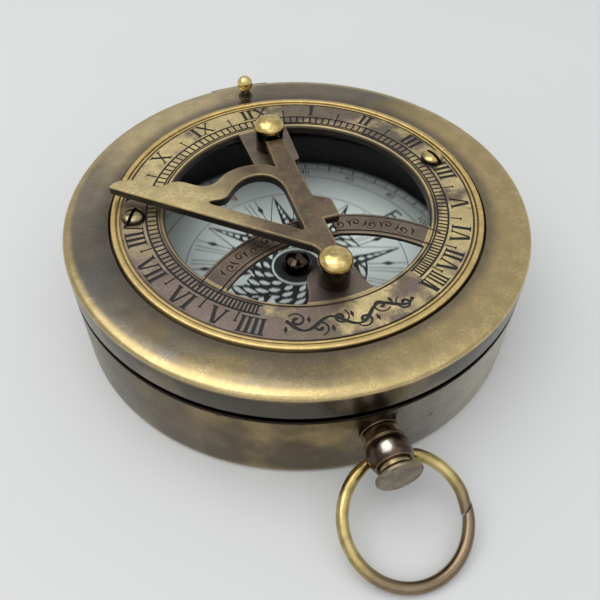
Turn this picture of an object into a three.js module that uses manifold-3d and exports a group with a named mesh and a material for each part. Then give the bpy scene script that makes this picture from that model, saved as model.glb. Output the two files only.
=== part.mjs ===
// Push-button pocket sundial compass in brass.
//
// A round case holds a compass under glass. Its hinged lid is a horizontal sundial: an engraved hour
// ring over a window, with a folding gnomon between two posts. A pendant at the front carries a split
// ring and the button that draws back the lid catch.
//
// Units are millimetres. The origin is the centre of the case's underside, +Z is up, +Y is north on
// the dial (the hinge side) and -Y is south (the pendant side).

import * as THREE from "three";
import { mergeVertices } from "three/addons/utils/BufferGeometryUtils.js";
import Module from "manifold-3d";

const wasm = await Module();
wasm.setup();

// ---------------------------------------------------------------- driving dimensions

const CASE_RADIUS = 37.5;
const CASE_WALL = 1.9;
const FLOOR_THICKNESS = 1.5;
const BASE_HEIGHT = 13.8;
const LIP_RADIUS = 36.3;
const LIP_TOP = 16.0;

const LID_BOTTOM = 14.8;
const LID_ROOF_UNDERSIDE = 17.3;
const LID_TOP = 20.0;
const SKIRT_INNER_RADIUS = 36.6;
const LEDGE_RADIUS = 25.0;
const LEDGE_TOP = 18.5;

const DIAL_RADIUS = 29.95;
const DIAL_BOTTOM = 18.6;
const DIAL_TOP = 20.06;
const DIAL_RIM_TOP = 20.35;
const DIAL_RIM_WIDTH = 1.3;
const DIAL_RECESS_RADIUS = 30.25;
const WINDOW_RADIUS = 21.5;

const FRONT_POST_Y = -17.7;
const REAR_POST_Y = 16.3;
const POST_RADIUS = 2.6;
const GNOMON_BOTTOM = 21.5;
const GNOMON_THICKNESS = 1.7;
const GNOMON_AXIS_Z = GNOMON_BOTTOM + GNOMON_THICKNESS / 2;

const LINER_RADIUS = 30.5;
const GLASS_RADIUS = 31.3;
const GLASS_BOTTOM = 11.2;
const GLASS_TOP = 12.3;
const CARD_RADIUS = 29.8;
const CARD_BOTTOM = 5.0;
const CARD_THICKNESS = 0.4;
const PIVOT_TIP = CARD_BOTTOM + 1.5;
const CARD_HEADING = THREE.MathUtils.degToRad(19);

const PENDANT_Z = 9.6;
const STEM_RADIUS = 0.6;
const BUTTON_TRAVEL = 0.8;
const BOW_RADIUS = 8.8;
const BOW_WIRE_RADIUS = 0.88;
const BOW_NECK_RADIUS = 0.77;
const BOW_HOLE_RADIUS = 1.13;
const BOW_HOLE_Y = -40.95;
const BOW_HOLE_Z = PENDANT_Z - 1.95;

const HINGE_Y = 39.2;
const HINGE_Z = 14.3;
const KNUCKLE_RADIUS = 1.6;
const HINGE_PIN_RADIUS = 0.65;

const RUNNING_GAP = 0.1;
const CASE_SEGMENTS = 72;
const INNER_SEGMENTS = 48;
const SMALL_SEGMENTS = 20;
const PIN_SEGMENTS = 12;

// ---------------------------------------------------------------- materials

function metal(color, roughness) {
  return new THREE.MeshStandardMaterial({ color, roughness, metalness: 1 });
}

function plain(color, roughness) {
  return new THREE.MeshStandardMaterial({ color, roughness, metalness: 0 });
}

const agedBrass = () => metal(0x8d7748, 0.38);
const dialBrass = () => metal(0x8a7355, 0.48);
const darkBronze = () => metal(0x4a4036, 0.42);
const polishedBrass = () => metal(0xc9a24a, 0.18);
const steel = () => metal(0x9a9da0, 0.3);
const blackPaint = () => plain(0x101010, 0.6);

// ---------------------------------------------------------------- geometry helpers

// A three.js geometry as a manifold-3d solid.
function toSolid(geometry) {
  const flat = geometry.index ? geometry.toNonIndexed() : geometry.clone();
  flat.deleteAttribute("normal");
  flat.deleteAttribute("uv");
  const merged = mergeVertices(flat, 1e-4);
  return new wasm.Manifold(
    new wasm.Mesh({
      numProp: 3,
      vertProperties: merged.attributes.position.array,
      triVerts: new Uint32Array(merged.index.array),
    }),
  );
}

// A manifold-3d solid back as a three.js geometry.
function toGeometry(solid) {
  const mesh = solid.getMesh();
  const geometry = new THREE.BufferGeometry();
  geometry.setAttribute("position", new THREE.BufferAttribute(mesh.vertProperties, 3));
  geometry.setIndex(new THREE.BufferAttribute(mesh.triVerts, 1));
  return geometry;
}

function subtractAll(geometry, cutters) {
  return toGeometry(cutters.reduce((body, cutter) => body.subtract(toSolid(cutter)), toSolid(geometry)));
}

function addAll(geometries) {
  return toGeometry(geometries.map(toSolid).reduce((body, next) => body.add(next)));
}

function meshOf(name, geometry, material) {
  const mesh = new THREE.Mesh(geometry, material);
  mesh.name = name;
  return mesh;
}

// A solid of revolution about +Z from a profile of [radius, z] points, going anticlockwise.
function turned(profile, segments) {
  const points = profile.map(([radius, z]) => new THREE.Vector2(radius, z));
  const [first, last] = [points[0], points[points.length - 1]];
  if (first.x > 0 || last.x > 0) points.push(first.clone());
  return new THREE.LatheGeometry(points, segments).rotateX(Math.PI / 2);
}

// The same about the pendant's axis: the profile is [radius, distance out from the case centre].
function turnedOnPendant(profile, segments) {
  return turned(profile, segments).rotateX(Math.PI / 2).translate(0, 0, PENDANT_Z);
}

// A washer or tube standing on the XY plane.
function ring(innerRadius, outerRadius, bottom, top, segments) {
  const profile = [
    [innerRadius, bottom],
    [outerRadius, bottom],
    [outerRadius, top],
    [innerRadius, top],
  ];
  return turned(profile, segments);
}

function disc(radius, bottom, top, segments) {
  return new THREE.CylinderGeometry(radius, radius, top - bottom, segments)
    .rotateX(Math.PI / 2)
    .translate(0, 0, (top + bottom) / 2);
}

function box(x0, x1, y0, y1, z0, z1) {
  return new THREE.BoxGeometry(x1 - x0, y1 - y0, z1 - z0).translate(
    (x0 + x1) / 2,
    (y0 + y1) / 2,
    (z0 + z1) / 2,
  );
}

// A round bar along X.
function barX(radius, x0, x1, y, z, segments) {
  return new THREE.CylinderGeometry(radius, radius, x1 - x0, segments)
    .rotateZ(Math.PI / 2)
    .translate((x0 + x1) / 2, y, z);
}

// A round bar along Y.
function barY(radius, y0, y1, x, z, segments) {
  return new THREE.CylinderGeometry(radius, radius, y1 - y0, segments).translate(x, (y0 + y1) / 2, z);
}

function plate(shape, bottom, top, curveSegments) {
  return new THREE.ExtrudeGeometry(shape, {
    depth: top - bottom,
    bevelEnabled: false,
    curveSegments,
  }).translate(0, 0, bottom);
}

// ---------------------------------------------------------------- case

// The front of the liner and retainer is cut back here for the catch and its stem.
function catchPocket(bottom, top) {
  return box(-3, 3, -40, -32.3, bottom, top);
}

function baseBowl() {
  const inner = CASE_RADIUS - CASE_WALL;
  const shell = turned(
    [
      [0, 0],
      [36.4, 0],
      [37.2, 0.35],
      [CASE_RADIUS, 1.2],
      [CASE_RADIUS, BASE_HEIGHT],
      [LIP_RADIUS, BASE_HEIGHT],
      [LIP_RADIUS, LIP_TOP],
      [inner, LIP_TOP],
      [inner, FLOOR_THICKNESS],
      [0, FLOOR_THICKNESS],
    ],
    CASE_SEGMENTS,
  );
  const stemBore = barY(2.1, -39, -33, 0, PENDANT_Z, SMALL_SEGMENTS);
  const catchGap = box(-3.2, 3.2, -38, -35, BASE_HEIGHT + 0.3, LIP_TOP + 1);
  return subtractAll(shell, [stemBore, catchGap]);
}

// Black inner wall, stepped near its top to seat the glass.
function caseLiner() {
  const seatRadius = GLASS_RADIUS + 0.2;
  const wall = turned(
    [
      [LINER_RADIUS, FLOOR_THICKNESS],
      [35.4, FLOOR_THICKNESS],
      [35.4, GLASS_TOP],
      [seatRadius, GLASS_TOP],
      [seatRadius, GLASS_BOTTOM - 0.2],
      [LINER_RADIUS, GLASS_BOTTOM - 0.2],
    ],
    INNER_SEGMENTS,
  );
  return subtractAll(wall, [catchPocket(3, GLASS_TOP + 1)]);
}

const RETAINER_BOTTOM = GLASS_TOP + 0.1;
const RETAINER_TOP = RETAINER_BOTTOM + 1;
const SPRING_SCREW_X = 6;
const SPRING_Y = 33.2;

function glassRetainer() {
  const band = ring(LINER_RADIUS + 0.1, 35.4, RETAINER_BOTTOM, RETAINER_TOP, INNER_SEGMENTS);
  const screwHole = disc(0.6, RETAINER_BOTTOM - 1, RETAINER_TOP + 1, PIN_SEGMENTS);
  screwHole.translate(SPRING_SCREW_X, SPRING_Y, 0);
  return subtractAll(band, [catchPocket(RETAINER_BOTTOM - 1, RETAINER_TOP + 1), screwHole]);
}

// A leaf that lies on the retainer and rises to press the lid open.
function kickSpring() {
  const seat = RETAINER_TOP + 0.05;
  const thickness = 0.3;
  const side = new THREE.Shape();
  side.moveTo(SPRING_SCREW_X + 1.6, seat);
  side.lineTo(SPRING_SCREW_X + 1.6, seat + thickness);
  side.lineTo(2, seat + thickness);
  side.quadraticCurveTo(-2, seat + thickness, -7, LID_ROOF_UNDERSIDE - 0.3);
  side.lineTo(-7.2, LID_ROOF_UNDERSIDE - 0.6);
  side.quadraticCurveTo(-2, seat, 2, seat);
  const leafWidth = 2.4;
  const leaf = new THREE.ExtrudeGeometry(side, { depth: leafWidth, bevelEnabled: false, curveSegments: 8 })
    .rotateX(Math.PI / 2)
    .translate(0, SPRING_Y + leafWidth / 2, 0);
  const screwHole = disc(0.6, seat - 1, seat + 1, PIN_SEGMENTS).translate(SPRING_SCREW_X, SPRING_Y, 0);
  return subtractAll(leaf, [screwHole]);
}

// A round-head screw whose underside is at z = 0, with a slot across its head.
function slottedScrew(headRadius, headHeight, shankRadius, shankLength) {
  const screw = turned(
    [
      [0, -shankLength],
      [shankRadius, -shankLength],
      [shankRadius, 0],
      [headRadius, 0],
      [headRadius, headHeight * 0.3],
      [headRadius * 0.8, headHeight * 0.75],
      [headRadius * 0.4, headHeight * 0.96],
      [0, headHeight],
    ],
    SMALL_SEGMENTS,
  );
  const slotHalfWidth = headRadius * 0.15;
  const slot = box(-slotHalfWidth, slotHalfWidth, -9, 9, headHeight * 0.5, headHeight * 2);
  return subtractAll(screw, [slot]);
}

// A hinge leaf that hugs the case wall, with its knuckles on the hinge axis.
function hingeLeaf(leafBottom, leafTop, linkBottom, linkTop, knuckleSpans) {
  const halfAngle = THREE.MathUtils.degToRad(8.5);
  const innerRadius = CASE_RADIUS + 0.1;
  const outerRadius = innerRadius + 1;
  const outline = new THREE.Shape();
  outline.absarc(0, 0, outerRadius, Math.PI / 2 - halfAngle, Math.PI / 2 + halfAngle, false);
  outline.absarc(0, 0, innerRadius, Math.PI / 2 + halfAngle, Math.PI / 2 - halfAngle, true);
  const pieces = [plate(outline, leafBottom, leafTop, 6)];
  for (const [x0, x1] of knuckleSpans) {
    pieces.push(box(x0, x1, CASE_RADIUS + 0.25, HINGE_Y, linkBottom, linkTop));
    pieces.push(barX(KNUCKLE_RADIUS, x0, x1, HINGE_Y, HINGE_Z, SMALL_SEGMENTS));
  }
  const bore = barX(HINGE_PIN_RADIUS + RUNNING_GAP, -9, 9, HINGE_Y, HINGE_Z, PIN_SEGMENTS);
  return subtractAll(addAll(pieces), [bore]);
}

const KNUCKLE_MIDDLE = 2.1;
const KNUCKLE_OUTER = 5.2;

const baseHingeLeaf = () =>
  hingeLeaf(8.5, 12.7, 12.2, HINGE_Z, [
    [-KNUCKLE_OUTER, -KNUCKLE_MIDDLE - 0.15],
    [KNUCKLE_MIDDLE + 0.15, KNUCKLE_OUTER],
  ]);

const lidHingeLeaf = () =>
  hingeLeaf(15.9, 18.9, HINGE_Z + 0.3, 16.4, [[-KNUCKLE_MIDDLE, KNUCKLE_MIDDLE]]);

// Stepped stud with a needle point that the card rests on.
function pivotStud() {
  return turned(
    [
      [0, 2.35],
      [2.6, 2.35],
      [2.6, 3.0],
      [1.2, 3.2],
      [1.2, PIVOT_TIP - 2.7],
      [0.35, PIVOT_TIP - 1.9],
      [0.12, PIVOT_TIP - 0.05],
      [0, PIVOT_TIP],
    ],
    SMALL_SEGMENTS,
  );
}

// ---------------------------------------------------------------- pendant, button and bow

const BARREL_END = 43.3;
const COUNTERBORE_START = 42.2;
const PLUNGER_RADIUS = 2.3;

// Flange, ribbed neck and barrel, bored for the stem and cross-drilled for the bow.
function pendantNeck() {
  const boreRadius = STEM_RADIUS + RUNNING_GAP;
  const outside = turnedOnPendant(
    [
      [0, 35.8],
      [2.0, 35.8],
      [2.0, 37.65],
      [2.9, 37.65],
      [2.9, 38.1],
      [2.5, 38.3],
      [2.5, 39.3],
      [3.2, 39.7],
      [3.2, 42.2],
      [3.05, 42.9],
      [2.8, BARREL_END],
      [0, BARREL_END],
    ],
    SMALL_SEGMENTS,
  );
  const stemBore = barY(boreRadius, -50, -30, 0, PENDANT_Z, SMALL_SEGMENTS);
  const counterboreRadius = PLUNGER_RADIUS + RUNNING_GAP;
  const counterbore = barY(counterboreRadius, -50, -COUNTERBORE_START, 0, PENDANT_Z, SMALL_SEGMENTS);
  const bowHole = barX(BOW_HOLE_RADIUS, -5, 5, BOW_HOLE_Y, BOW_HOLE_Z, SMALL_SEGMENTS);
  return subtractAll(outside, [stemBore, counterbore, bowHole]);
}

const STEM_END = 34.0;
const SPRING_SEAT = 44.5;
const PLUNGER_START = COUNTERBORE_START + BUTTON_TRAVEL + RUNNING_GAP;
const FLARE_START = BARREL_END + BUTTON_TRAVEL + RUNNING_GAP;
const BUTTON_END = 45.4;

// Flared cap, plunger and stem in one turning; the plunger is hollow for the spring.
function pushButton() {
  return turnedOnPendant(
    [
      [0, STEM_END],
      [STEM_RADIUS, STEM_END],
      [STEM_RADIUS, SPRING_SEAT],
      [1.4, SPRING_SEAT],
      [1.4, PLUNGER_START],
      [PLUNGER_RADIUS, PLUNGER_START],
      [PLUNGER_RADIUS, FLARE_START],
      [2.7, FLARE_START],
      [3.45, 44.8],
      [3.45, 45.2],
      [3.2, BUTTON_END],
      [0, BUTTON_END],
    ],
    SMALL_SEGMENTS,
  );
}

function buttonSpring() {
  const start = COUNTERBORE_START + 0.25;
  const end = SPRING_SEAT - 0.25;
  const turns = 3;
  const coilRadius = 1.1;
  class Helix extends THREE.Curve {
    getPoint(t, target = new THREE.Vector3()) {
      const angle = t * turns * 2 * Math.PI;
      return target.set(
        coilRadius * Math.cos(angle),
        -(start + t * (end - start)),
        PENDANT_Z + coilRadius * Math.sin(angle),
      );
    }
  }
  const wire = new THREE.Shape().absarc(0, 0, 0.14, 0, 2 * Math.PI);
  return new THREE.ExtrudeGeometry(wire, { steps: turns * 12, curveSegments: 3, extrudePath: new Helix() });
}

function buttonStopRing() {
  const washer = ring(STEM_RADIUS + 0.05, 1.8, 34.95, 35.35, SMALL_SEGMENTS);
  return washer.rotateX(Math.PI / 2).translate(0, 0, PENDANT_Z);
}

// An upright arm on the stem whose tooth reaches towards the strike.
function catchHook() {
  const arm = box(-2.2, 2.2, -34.85, -34.05, PENDANT_Z - 1.5, 16.6);
  const tooth = box(-2.2, 2.2, -35.75, -34.5, 15.95, 16.6);
  const stemHole = barY(STEM_RADIUS + 0.05, -36, -33, 0, PENDANT_Z, SMALL_SEGMENTS);
  return subtractAll(addAll([arm, tooth]), [stemHole]);
}

const BOW_AXIS_OFFSET = 0.28;
const NECK_ANGLE = 0.4;
const BOW_FAR_REACH = 2 * BOW_RADIUS - BOW_AXIS_OFFSET;
const BOW_SLOPE = Math.asin((BOW_HOLE_Z - BOW_WIRE_RADIUS - 0.02) / BOW_FAR_REACH);

// A round ring resting on the ground with its far edge. It is thinner where it runs through the
// pendant, so that it can turn there, and is cut through obliquely at its east side.
function bowRing() {
  const torus = new THREE.TorusGeometry(BOW_RADIUS, BOW_WIRE_RADIUS, 12, 64);
  const corners = torus.getAttribute("position");
  for (let i = 0; i < corners.count; i += 1) {
    const corner = new THREE.Vector3().fromBufferAttribute(corners, i);
    const middle = new THREE.Vector3(corner.x, corner.y, 0).setLength(BOW_RADIUS);
    const fromPivot = Math.abs(Math.atan2(corner.x, corner.y));
    const swell = THREE.MathUtils.smoothstep(fromPivot, NECK_ANGLE, NECK_ANGLE + 0.15);
    const size = THREE.MathUtils.lerp(BOW_NECK_RADIUS / BOW_WIRE_RADIUS, 1, swell);
    corner.sub(middle).multiplyScalar(size).add(middle);
    corners.setXYZ(i, corner.x, corner.y, corner.z);
  }
  const splitAngle = THREE.MathUtils.degToRad(-8);
  const split = new THREE.BoxGeometry(0.15, 4, 4)
    .rotateZ(THREE.MathUtils.degToRad(-45))
    .translate(BOW_RADIUS * Math.cos(splitAngle), BOW_RADIUS * Math.sin(splitAngle), 0);
  return subtractAll(torus, [split])
    .translate(0, BOW_AXIS_OFFSET - BOW_RADIUS, 0)
    .rotateX(BOW_SLOPE)
    .translate(0, BOW_HOLE_Y, BOW_HOLE_Z);
}

// ---------------------------------------------------------------- compass card

const CARD_TOP = CARD_BOTTOM + CARD_THICKNESS;

function cardCap() {
  return turned(
    [
      [1.05, CARD_TOP + 0.05],
      [2.7, CARD_TOP + 0.05],
      [2.7, CARD_TOP + 0.9],
      [2.1, CARD_TOP + 1.9],
      [1.1, CARD_TOP + 2.5],
      [0, CARD_TOP + 2.65],
      [0, CARD_TOP + 2.0],
      [1.05, CARD_TOP + 2.0],
    ],
    SMALL_SEGMENTS,
  );
}

// A jewel with a cone in its underside that sits on the stud's point.
function cardJewel() {
  return turned(
    [
      [0, PIVOT_TIP + 0.35],
      [0.5, PIVOT_TIP - 0.15],
      [0.95, PIVOT_TIP - 0.15],
      [0.95, PIVOT_TIP + 0.8],
      [0, PIVOT_TIP + 0.8],
    ],
    SMALL_SEGMENTS,
  );
}

// A flat lozenge under the card, along the card's own north line.
function needleMagnet() {
  const halfLength = 18;
  const halfWidth = 2.6;
  const top = CARD_BOTTOM - 0.1;
  const outline = new THREE.Shape();
  outline.moveTo(0, -halfLength);
  outline.lineTo(halfWidth, 0);
  outline.lineTo(0, halfLength);
  outline.lineTo(-halfWidth, 0);
  outline.closePath();
  outline.holes.push(new THREE.Path().absarc(0, 0, 1.7, 0, 2 * Math.PI));
  return plate(outline, top - 0.7, top, 8).rotateZ(CARD_HEADING);
}

// ---------------------------------------------------------------- lid and dial

const SCREW_RING_RADIUS = 26.3;
const SCREW_AZIMUTH = THREE.MathUtils.degToRad(80.5);
const SCREW_X = SCREW_RING_RADIUS * Math.sin(SCREW_AZIMUTH);
const SCREW_Y = SCREW_RING_RADIUS * Math.cos(SCREW_AZIMUTH);
const SCREW_SHANK = 0.8;
const BEAD_Y = 33;
const BEAD_SHANK = 0.6;
const BEAD_NECK = 0.75;
const STRIKE_HALF_WIDTH = 2.4;

// Vertical holes for the two dial screws.
function screwHoles() {
  return [-SCREW_X, SCREW_X].map((x) =>
    disc(SCREW_SHANK + 0.06, 15, 22, PIN_SEGMENTS).translate(x, SCREW_Y, 0),
  );
}

// Skirt, softly domed rim and the ledge that carries the dial.
function lidShell() {
  const shell = turned(
    [
      [LEDGE_RADIUS, LID_ROOF_UNDERSIDE],
      [SKIRT_INNER_RADIUS, LID_ROOF_UNDERSIDE],
      [SKIRT_INNER_RADIUS, LID_BOTTOM],
      [CASE_RADIUS, LID_BOTTOM],
      [CASE_RADIUS, 18.6],
      [37.25, 19.25],
      [36.5, 19.7],
      [34.5, 19.93],
      [32.0, LID_TOP],
      [DIAL_RECESS_RADIUS, LID_TOP],
      [DIAL_RECESS_RADIUS, LEDGE_TOP],
      [LEDGE_RADIUS, LEDGE_TOP],
    ],
    CASE_SEGMENTS,
  );
  const beadHole = disc(BEAD_SHANK + 0.06, 18, 22, PIN_SEGMENTS).translate(0, BEAD_Y, 0);
  return subtractAll(shell, [...screwHoles(), beadHole]);
}

const BRIDGE_CENTRE_Y = -29.4;
const BRIDGE_INNER_RADIUS = 21.2;
const BRIDGE_OUTER_RADIUS = 25.7;
const BRIDGE_BOTTOM = DIAL_TOP - 0.75;

// The bell-shaped web under the front post.
function frontWeb() {
  const outline = new THREE.Shape();
  outline.moveTo(-6.4, -22.4);
  outline.quadraticCurveTo(-4.3, -20.2, -4.1, -17.6);
  outline.bezierCurveTo(-4.0, -13.4, 4.0, -13.4, 4.1, -17.6);
  outline.quadraticCurveTo(4.3, -20.2, 6.4, -22.4);
  return plate(outline, DIAL_BOTTOM, DIAL_TOP, 8);
}

// The tongue under the rear post.
function rearTongue() {
  const outline = new THREE.Shape();
  const halfWidth = 4.0;
  const end = 11.2;
  const corner = 0.8;
  outline.moveTo(halfWidth + 0.5, 22.4);
  outline.lineTo(-halfWidth - 0.5, 22.4);
  outline.lineTo(-halfWidth, end + corner);
  outline.quadraticCurveTo(-halfWidth, end, -halfWidth + corner, end);
  outline.lineTo(halfWidth - corner, end);
  outline.quadraticCurveTo(halfWidth, end, halfWidth, end + corner);
  return plate(outline, DIAL_BOTTOM, DIAL_TOP, 4);
}

const POST_TENON_RADIUS = 1.1;
const TAIL_REACH = 4.35;
const TAIL_SOUTH = -7.8;
const TAIL_NORTH = -3.4;

// Hour ring with its raised rim, the web, the tongue and the arched bridge, notched for the gnomon's tail.
function dialPlate() {
  const hourRing = ring(WINDOW_RADIUS, DIAL_RADIUS, DIAL_BOTTOM, DIAL_TOP, CASE_SEGMENTS);
  const rim = ring(DIAL_RADIUS - DIAL_RIM_WIDTH, DIAL_RADIUS, DIAL_TOP - 0.5, DIAL_RIM_TOP, CASE_SEGMENTS);
  const bridgeRing = ring(BRIDGE_INNER_RADIUS, BRIDGE_OUTER_RADIUS, BRIDGE_BOTTOM, DIAL_TOP, CASE_SEGMENTS);
  const reach = disc(WINDOW_RADIUS + 0.8, DIAL_BOTTOM - 1, DIAL_TOP + 1, CASE_SEGMENTS);
  const bridge = toSolid(bridgeRing.translate(0, BRIDGE_CENTRE_Y, 0)).intersect(toSolid(reach));
  const notchSouth = TAIL_SOUTH - 0.25;
  const notchEast = TAIL_REACH - 0.35;
  const tailNotch = box(-1.2, notchEast, notchSouth, -2.5, DIAL_BOTTOM - 1, DIAL_TOP + 1);
  const notchLip = box(-2.0, notchEast, notchSouth - 0.55, notchSouth + 0.1, BRIDGE_BOTTOM, DIAL_TOP);
  const postHoles = [FRONT_POST_Y, REAR_POST_Y].map((y) =>
    disc(POST_TENON_RADIUS + 0.06, DIAL_BOTTOM - 1, DIAL_TOP + 1, PIN_SEGMENTS).translate(0, y, 0),
  );
  const body = addAll([hourRing, rim, toGeometry(bridge), notchLip, frontWeb(), rearTongue()]);
  return subtractAll(body, [tailNotch, ...postHoles, ...screwHoles()]);
}

// A gnomon post at the origin: round body and low domed head, drilled for the pivot pin.
function post(pinSide) {
  const seat = DIAL_TOP + 0.05;
  const equator = 24.3;
  const turnedPost = turned(
    [
      [0, DIAL_BOTTOM - 0.1],
      [POST_TENON_RADIUS, DIAL_BOTTOM - 0.1],
      [POST_TENON_RADIUS, seat],
      [POST_RADIUS - 0.2, seat],
      [POST_RADIUS - 0.2, equator - 0.3],
      [POST_RADIUS, equator],
      [POST_RADIUS * 0.88, equator + 0.75],
      [POST_RADIUS * 0.6, equator + 1.2],
      [POST_RADIUS * 0.3, equator + 1.4],
      [0, equator + 1.4],
    ],
    SMALL_SEGMENTS,
  );
  const pinHole = barY(PIN_RADIUS + RUNNING_GAP, 1, 4, 0, GNOMON_AXIS_Z, PIN_SEGMENTS);
  if (pinSide === "south") pinHole.rotateZ(Math.PI);
  return subtractAll(turnedPost, [pinHole]);
}

function sightBead() {
  const ballRadius = 1.45;
  const ballZ = 22.6;
  const profile = [
    [0, 18.3],
    [BEAD_SHANK, 18.3],
    [BEAD_SHANK, LID_TOP + 0.1],
    [1.35, LID_TOP + 0.1],
    [1.35, LID_TOP + 0.2],
    [BEAD_NECK, LID_TOP + 0.35],
  ];
  const arcSteps = 8;
  const startAngle = -Math.acos(BEAD_NECK / ballRadius);
  for (let i = 0; i <= arcSteps; i++) {
    const angle = startAngle + (i / arcSteps) * (Math.PI / 2 - startAngle);
    profile.push([Math.max(ballRadius * Math.cos(angle), 0), ballZ + ballRadius * Math.sin(angle)]);
  }
  profile[profile.length - 1][0] = 0;
  return turned(profile, SMALL_SEGMENTS).translate(0, BEAD_Y, 0);
}

// ---------------------------------------------------------------- gnomon

const PIN_RADIUS = 0.42;
const BAR_HALF_WIDTH = 1.75;
const BAR_SOUTH = FRONT_POST_Y + POST_RADIUS + 0.2;
const BAR_NORTH = REAR_POST_Y - POST_RADIUS - 0.2;

// The style with its scrolled inner edge, the bar on the noon line and the finger tail.
function gnomonOutline() {
  const outline = new THREE.Shape();
  outline.moveTo(BAR_HALF_WIDTH, BAR_SOUTH);
  outline.lineTo(BAR_HALF_WIDTH, TAIL_SOUTH);
  outline.lineTo(TAIL_REACH - 0.25, TAIL_SOUTH);
  outline.lineTo(TAIL_REACH, TAIL_SOUTH + 0.25);
  outline.lineTo(TAIL_REACH, TAIL_NORTH - 0.6);
  outline.quadraticCurveTo(TAIL_REACH - 0.3, TAIL_NORTH, TAIL_REACH - 1, TAIL_NORTH + 0.3);
  outline.lineTo(BAR_HALF_WIDTH + 0.2, -2.3);
  outline.lineTo(BAR_HALF_WIDTH, -1.8);
  outline.lineTo(BAR_HALF_WIDTH, BAR_NORTH);
  outline.lineTo(-BAR_HALF_WIDTH + 0.3, BAR_NORTH);
  outline.lineTo(-BAR_HALF_WIDTH, 6.5);
  outline.bezierCurveTo(-3.4, 7.9, -5.2, 8.2, -6.8, 8.1);
  outline.bezierCurveTo(-9.0, 7.9, -10.2, 7.2, -11.2, 6.2);
  outline.bezierCurveTo(-12.0, 5.3, -12.8, 4.9, -13.9, 5.0);
  outline.bezierCurveTo(-15.8, 5.3, -16.6, 7.5, -18.6, 7.5);
  outline.bezierCurveTo(-19.6, 7.4, -20.0, 6.9, -20.9, 7.1);
  outline.bezierCurveTo(-23.0, 7.6, -23.6, 9.4, -25.2, 10.1);
  outline.bezierCurveTo(-26.6, 10.6, -28.0, 10.2, -28.6, 9.3);
  outline.lineTo(-1.9, -12.9);
  outline.quadraticCurveTo(-1.3, -13.5, -1.2, -14.2);
  outline.lineTo(-1.2, BAR_SOUTH);
  return outline;
}

// The teardrop cut-out between style and scroll.
function gnomonCutout() {
  const hole = new THREE.Path();
  hole.moveTo(-1.85, -9.0);
  hole.lineTo(-1.85, 0.6);
  hole.bezierCurveTo(-1.9, 3.6, -3.6, 5.3, -5.8, 5.3);
  hole.bezierCurveTo(-8.2, 5.2, -9.6, 3.6, -10.6, 2.2);
  hole.bezierCurveTo(-11.3, 1.2, -12.2, 1.1, -13.4, 1.3);
  hole.quadraticCurveTo(-14.7, 1.3, -13.8, 0.3);
  hole.lineTo(-2.4, -9.2);
  hole.quadraticCurveTo(-2.0, -9.5, -1.85, -9.0);
  return hole;
}

function gnomonPlate() {
  const outline = gnomonOutline();
  outline.holes.push(gnomonCutout());
  const blank = plate(outline, GNOMON_BOTTOM, GNOMON_BOTTOM + GNOMON_THICKNESS, 5);
  const pinBore = 1.6;
  return subtractAll(blank, [
    barY(PIN_RADIUS + 0.05, BAR_SOUTH - 1, BAR_SOUTH + pinBore, 0, GNOMON_AXIS_Z, PIN_SEGMENTS),
    barY(PIN_RADIUS + 0.05, BAR_NORTH - pinBore, BAR_NORTH + 1, 0, GNOMON_AXIS_Z, PIN_SEGMENTS),
  ]);
}

const gnomonPin = (y0, y1) => barY(PIN_RADIUS, y0, y1, 0, GNOMON_AXIS_Z, PIN_SEGMENTS);

// ---------------------------------------------------------------- assembly

const compass = new THREE.Group();

compass.add(
  meshOf("base_bowl", baseBowl(), agedBrass()),
  meshOf("base_hinge_leaf", baseHingeLeaf(), agedBrass()),
  meshOf(
    "hinge_pin",
    barX(HINGE_PIN_RADIUS, -KNUCKLE_OUTER - 0.1, KNUCKLE_OUTER + 0.1, HINGE_Y, HINGE_Z, PIN_SEGMENTS),
    steel(),
  ),
  meshOf("case_liner", caseLiner(), blackPaint()),
  meshOf(
    "pivot_plate",
    disc(LINER_RADIUS - 0.3, FLOOR_THICKNESS + 0.02, FLOOR_THICKNESS + 0.8, INNER_SEGMENTS),
    blackPaint(),
  ),
  meshOf("pivot_stud", pivotStud(), steel()),
  meshOf(
    "glass_gasket",
    ring(LINER_RADIUS + 0.05, GLASS_RADIUS, GLASS_BOTTOM - 0.18, GLASS_BOTTOM - 0.02, INNER_SEGMENTS),
    blackPaint(),
  ),
  meshOf("compass_glass", disc(GLASS_RADIUS, GLASS_BOTTOM, GLASS_TOP, INNER_SEGMENTS), plain(0xdfe6e6, 0.05)),
  meshOf("glass_retainer", glassRetainer(), blackPaint()),
  meshOf("kick_spring", kickSpring(), steel()),
  meshOf("pendant_neck", pendantNeck(), darkBronze()),
  meshOf("button_spring", buttonSpring(), steel()),
);

const springScrew = meshOf("kick_spring_screw", slottedScrew(1.1, 0.7, 0.5, 1.3), steel());
springScrew.position.set(SPRING_SCREW_X, SPRING_Y, RETAINER_TOP + 0.4);
compass.add(springScrew);

compass.add(
  meshOf("push_button", pushButton(), darkBronze()),
  meshOf("button_stop_ring", buttonStopRing(), steel()),
  meshOf("catch_hook", catchHook(), steel()),
  meshOf("bow_ring", bowRing(), agedBrass()),
);

compass.add(
  meshOf(
    "compass_card",
    ring(1.5, CARD_RADIUS, CARD_BOTTOM, CARD_TOP, INNER_SEGMENTS),
    plain(0xdfe3dd, 0.6),
  ),
  meshOf("needle_magnet", needleMagnet(), steel()),
  meshOf("card_cap", cardCap(), darkBronze()),
  meshOf("card_jewel", cardJewel(), plain(0x7a1f2b, 0.2)),
);

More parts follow.
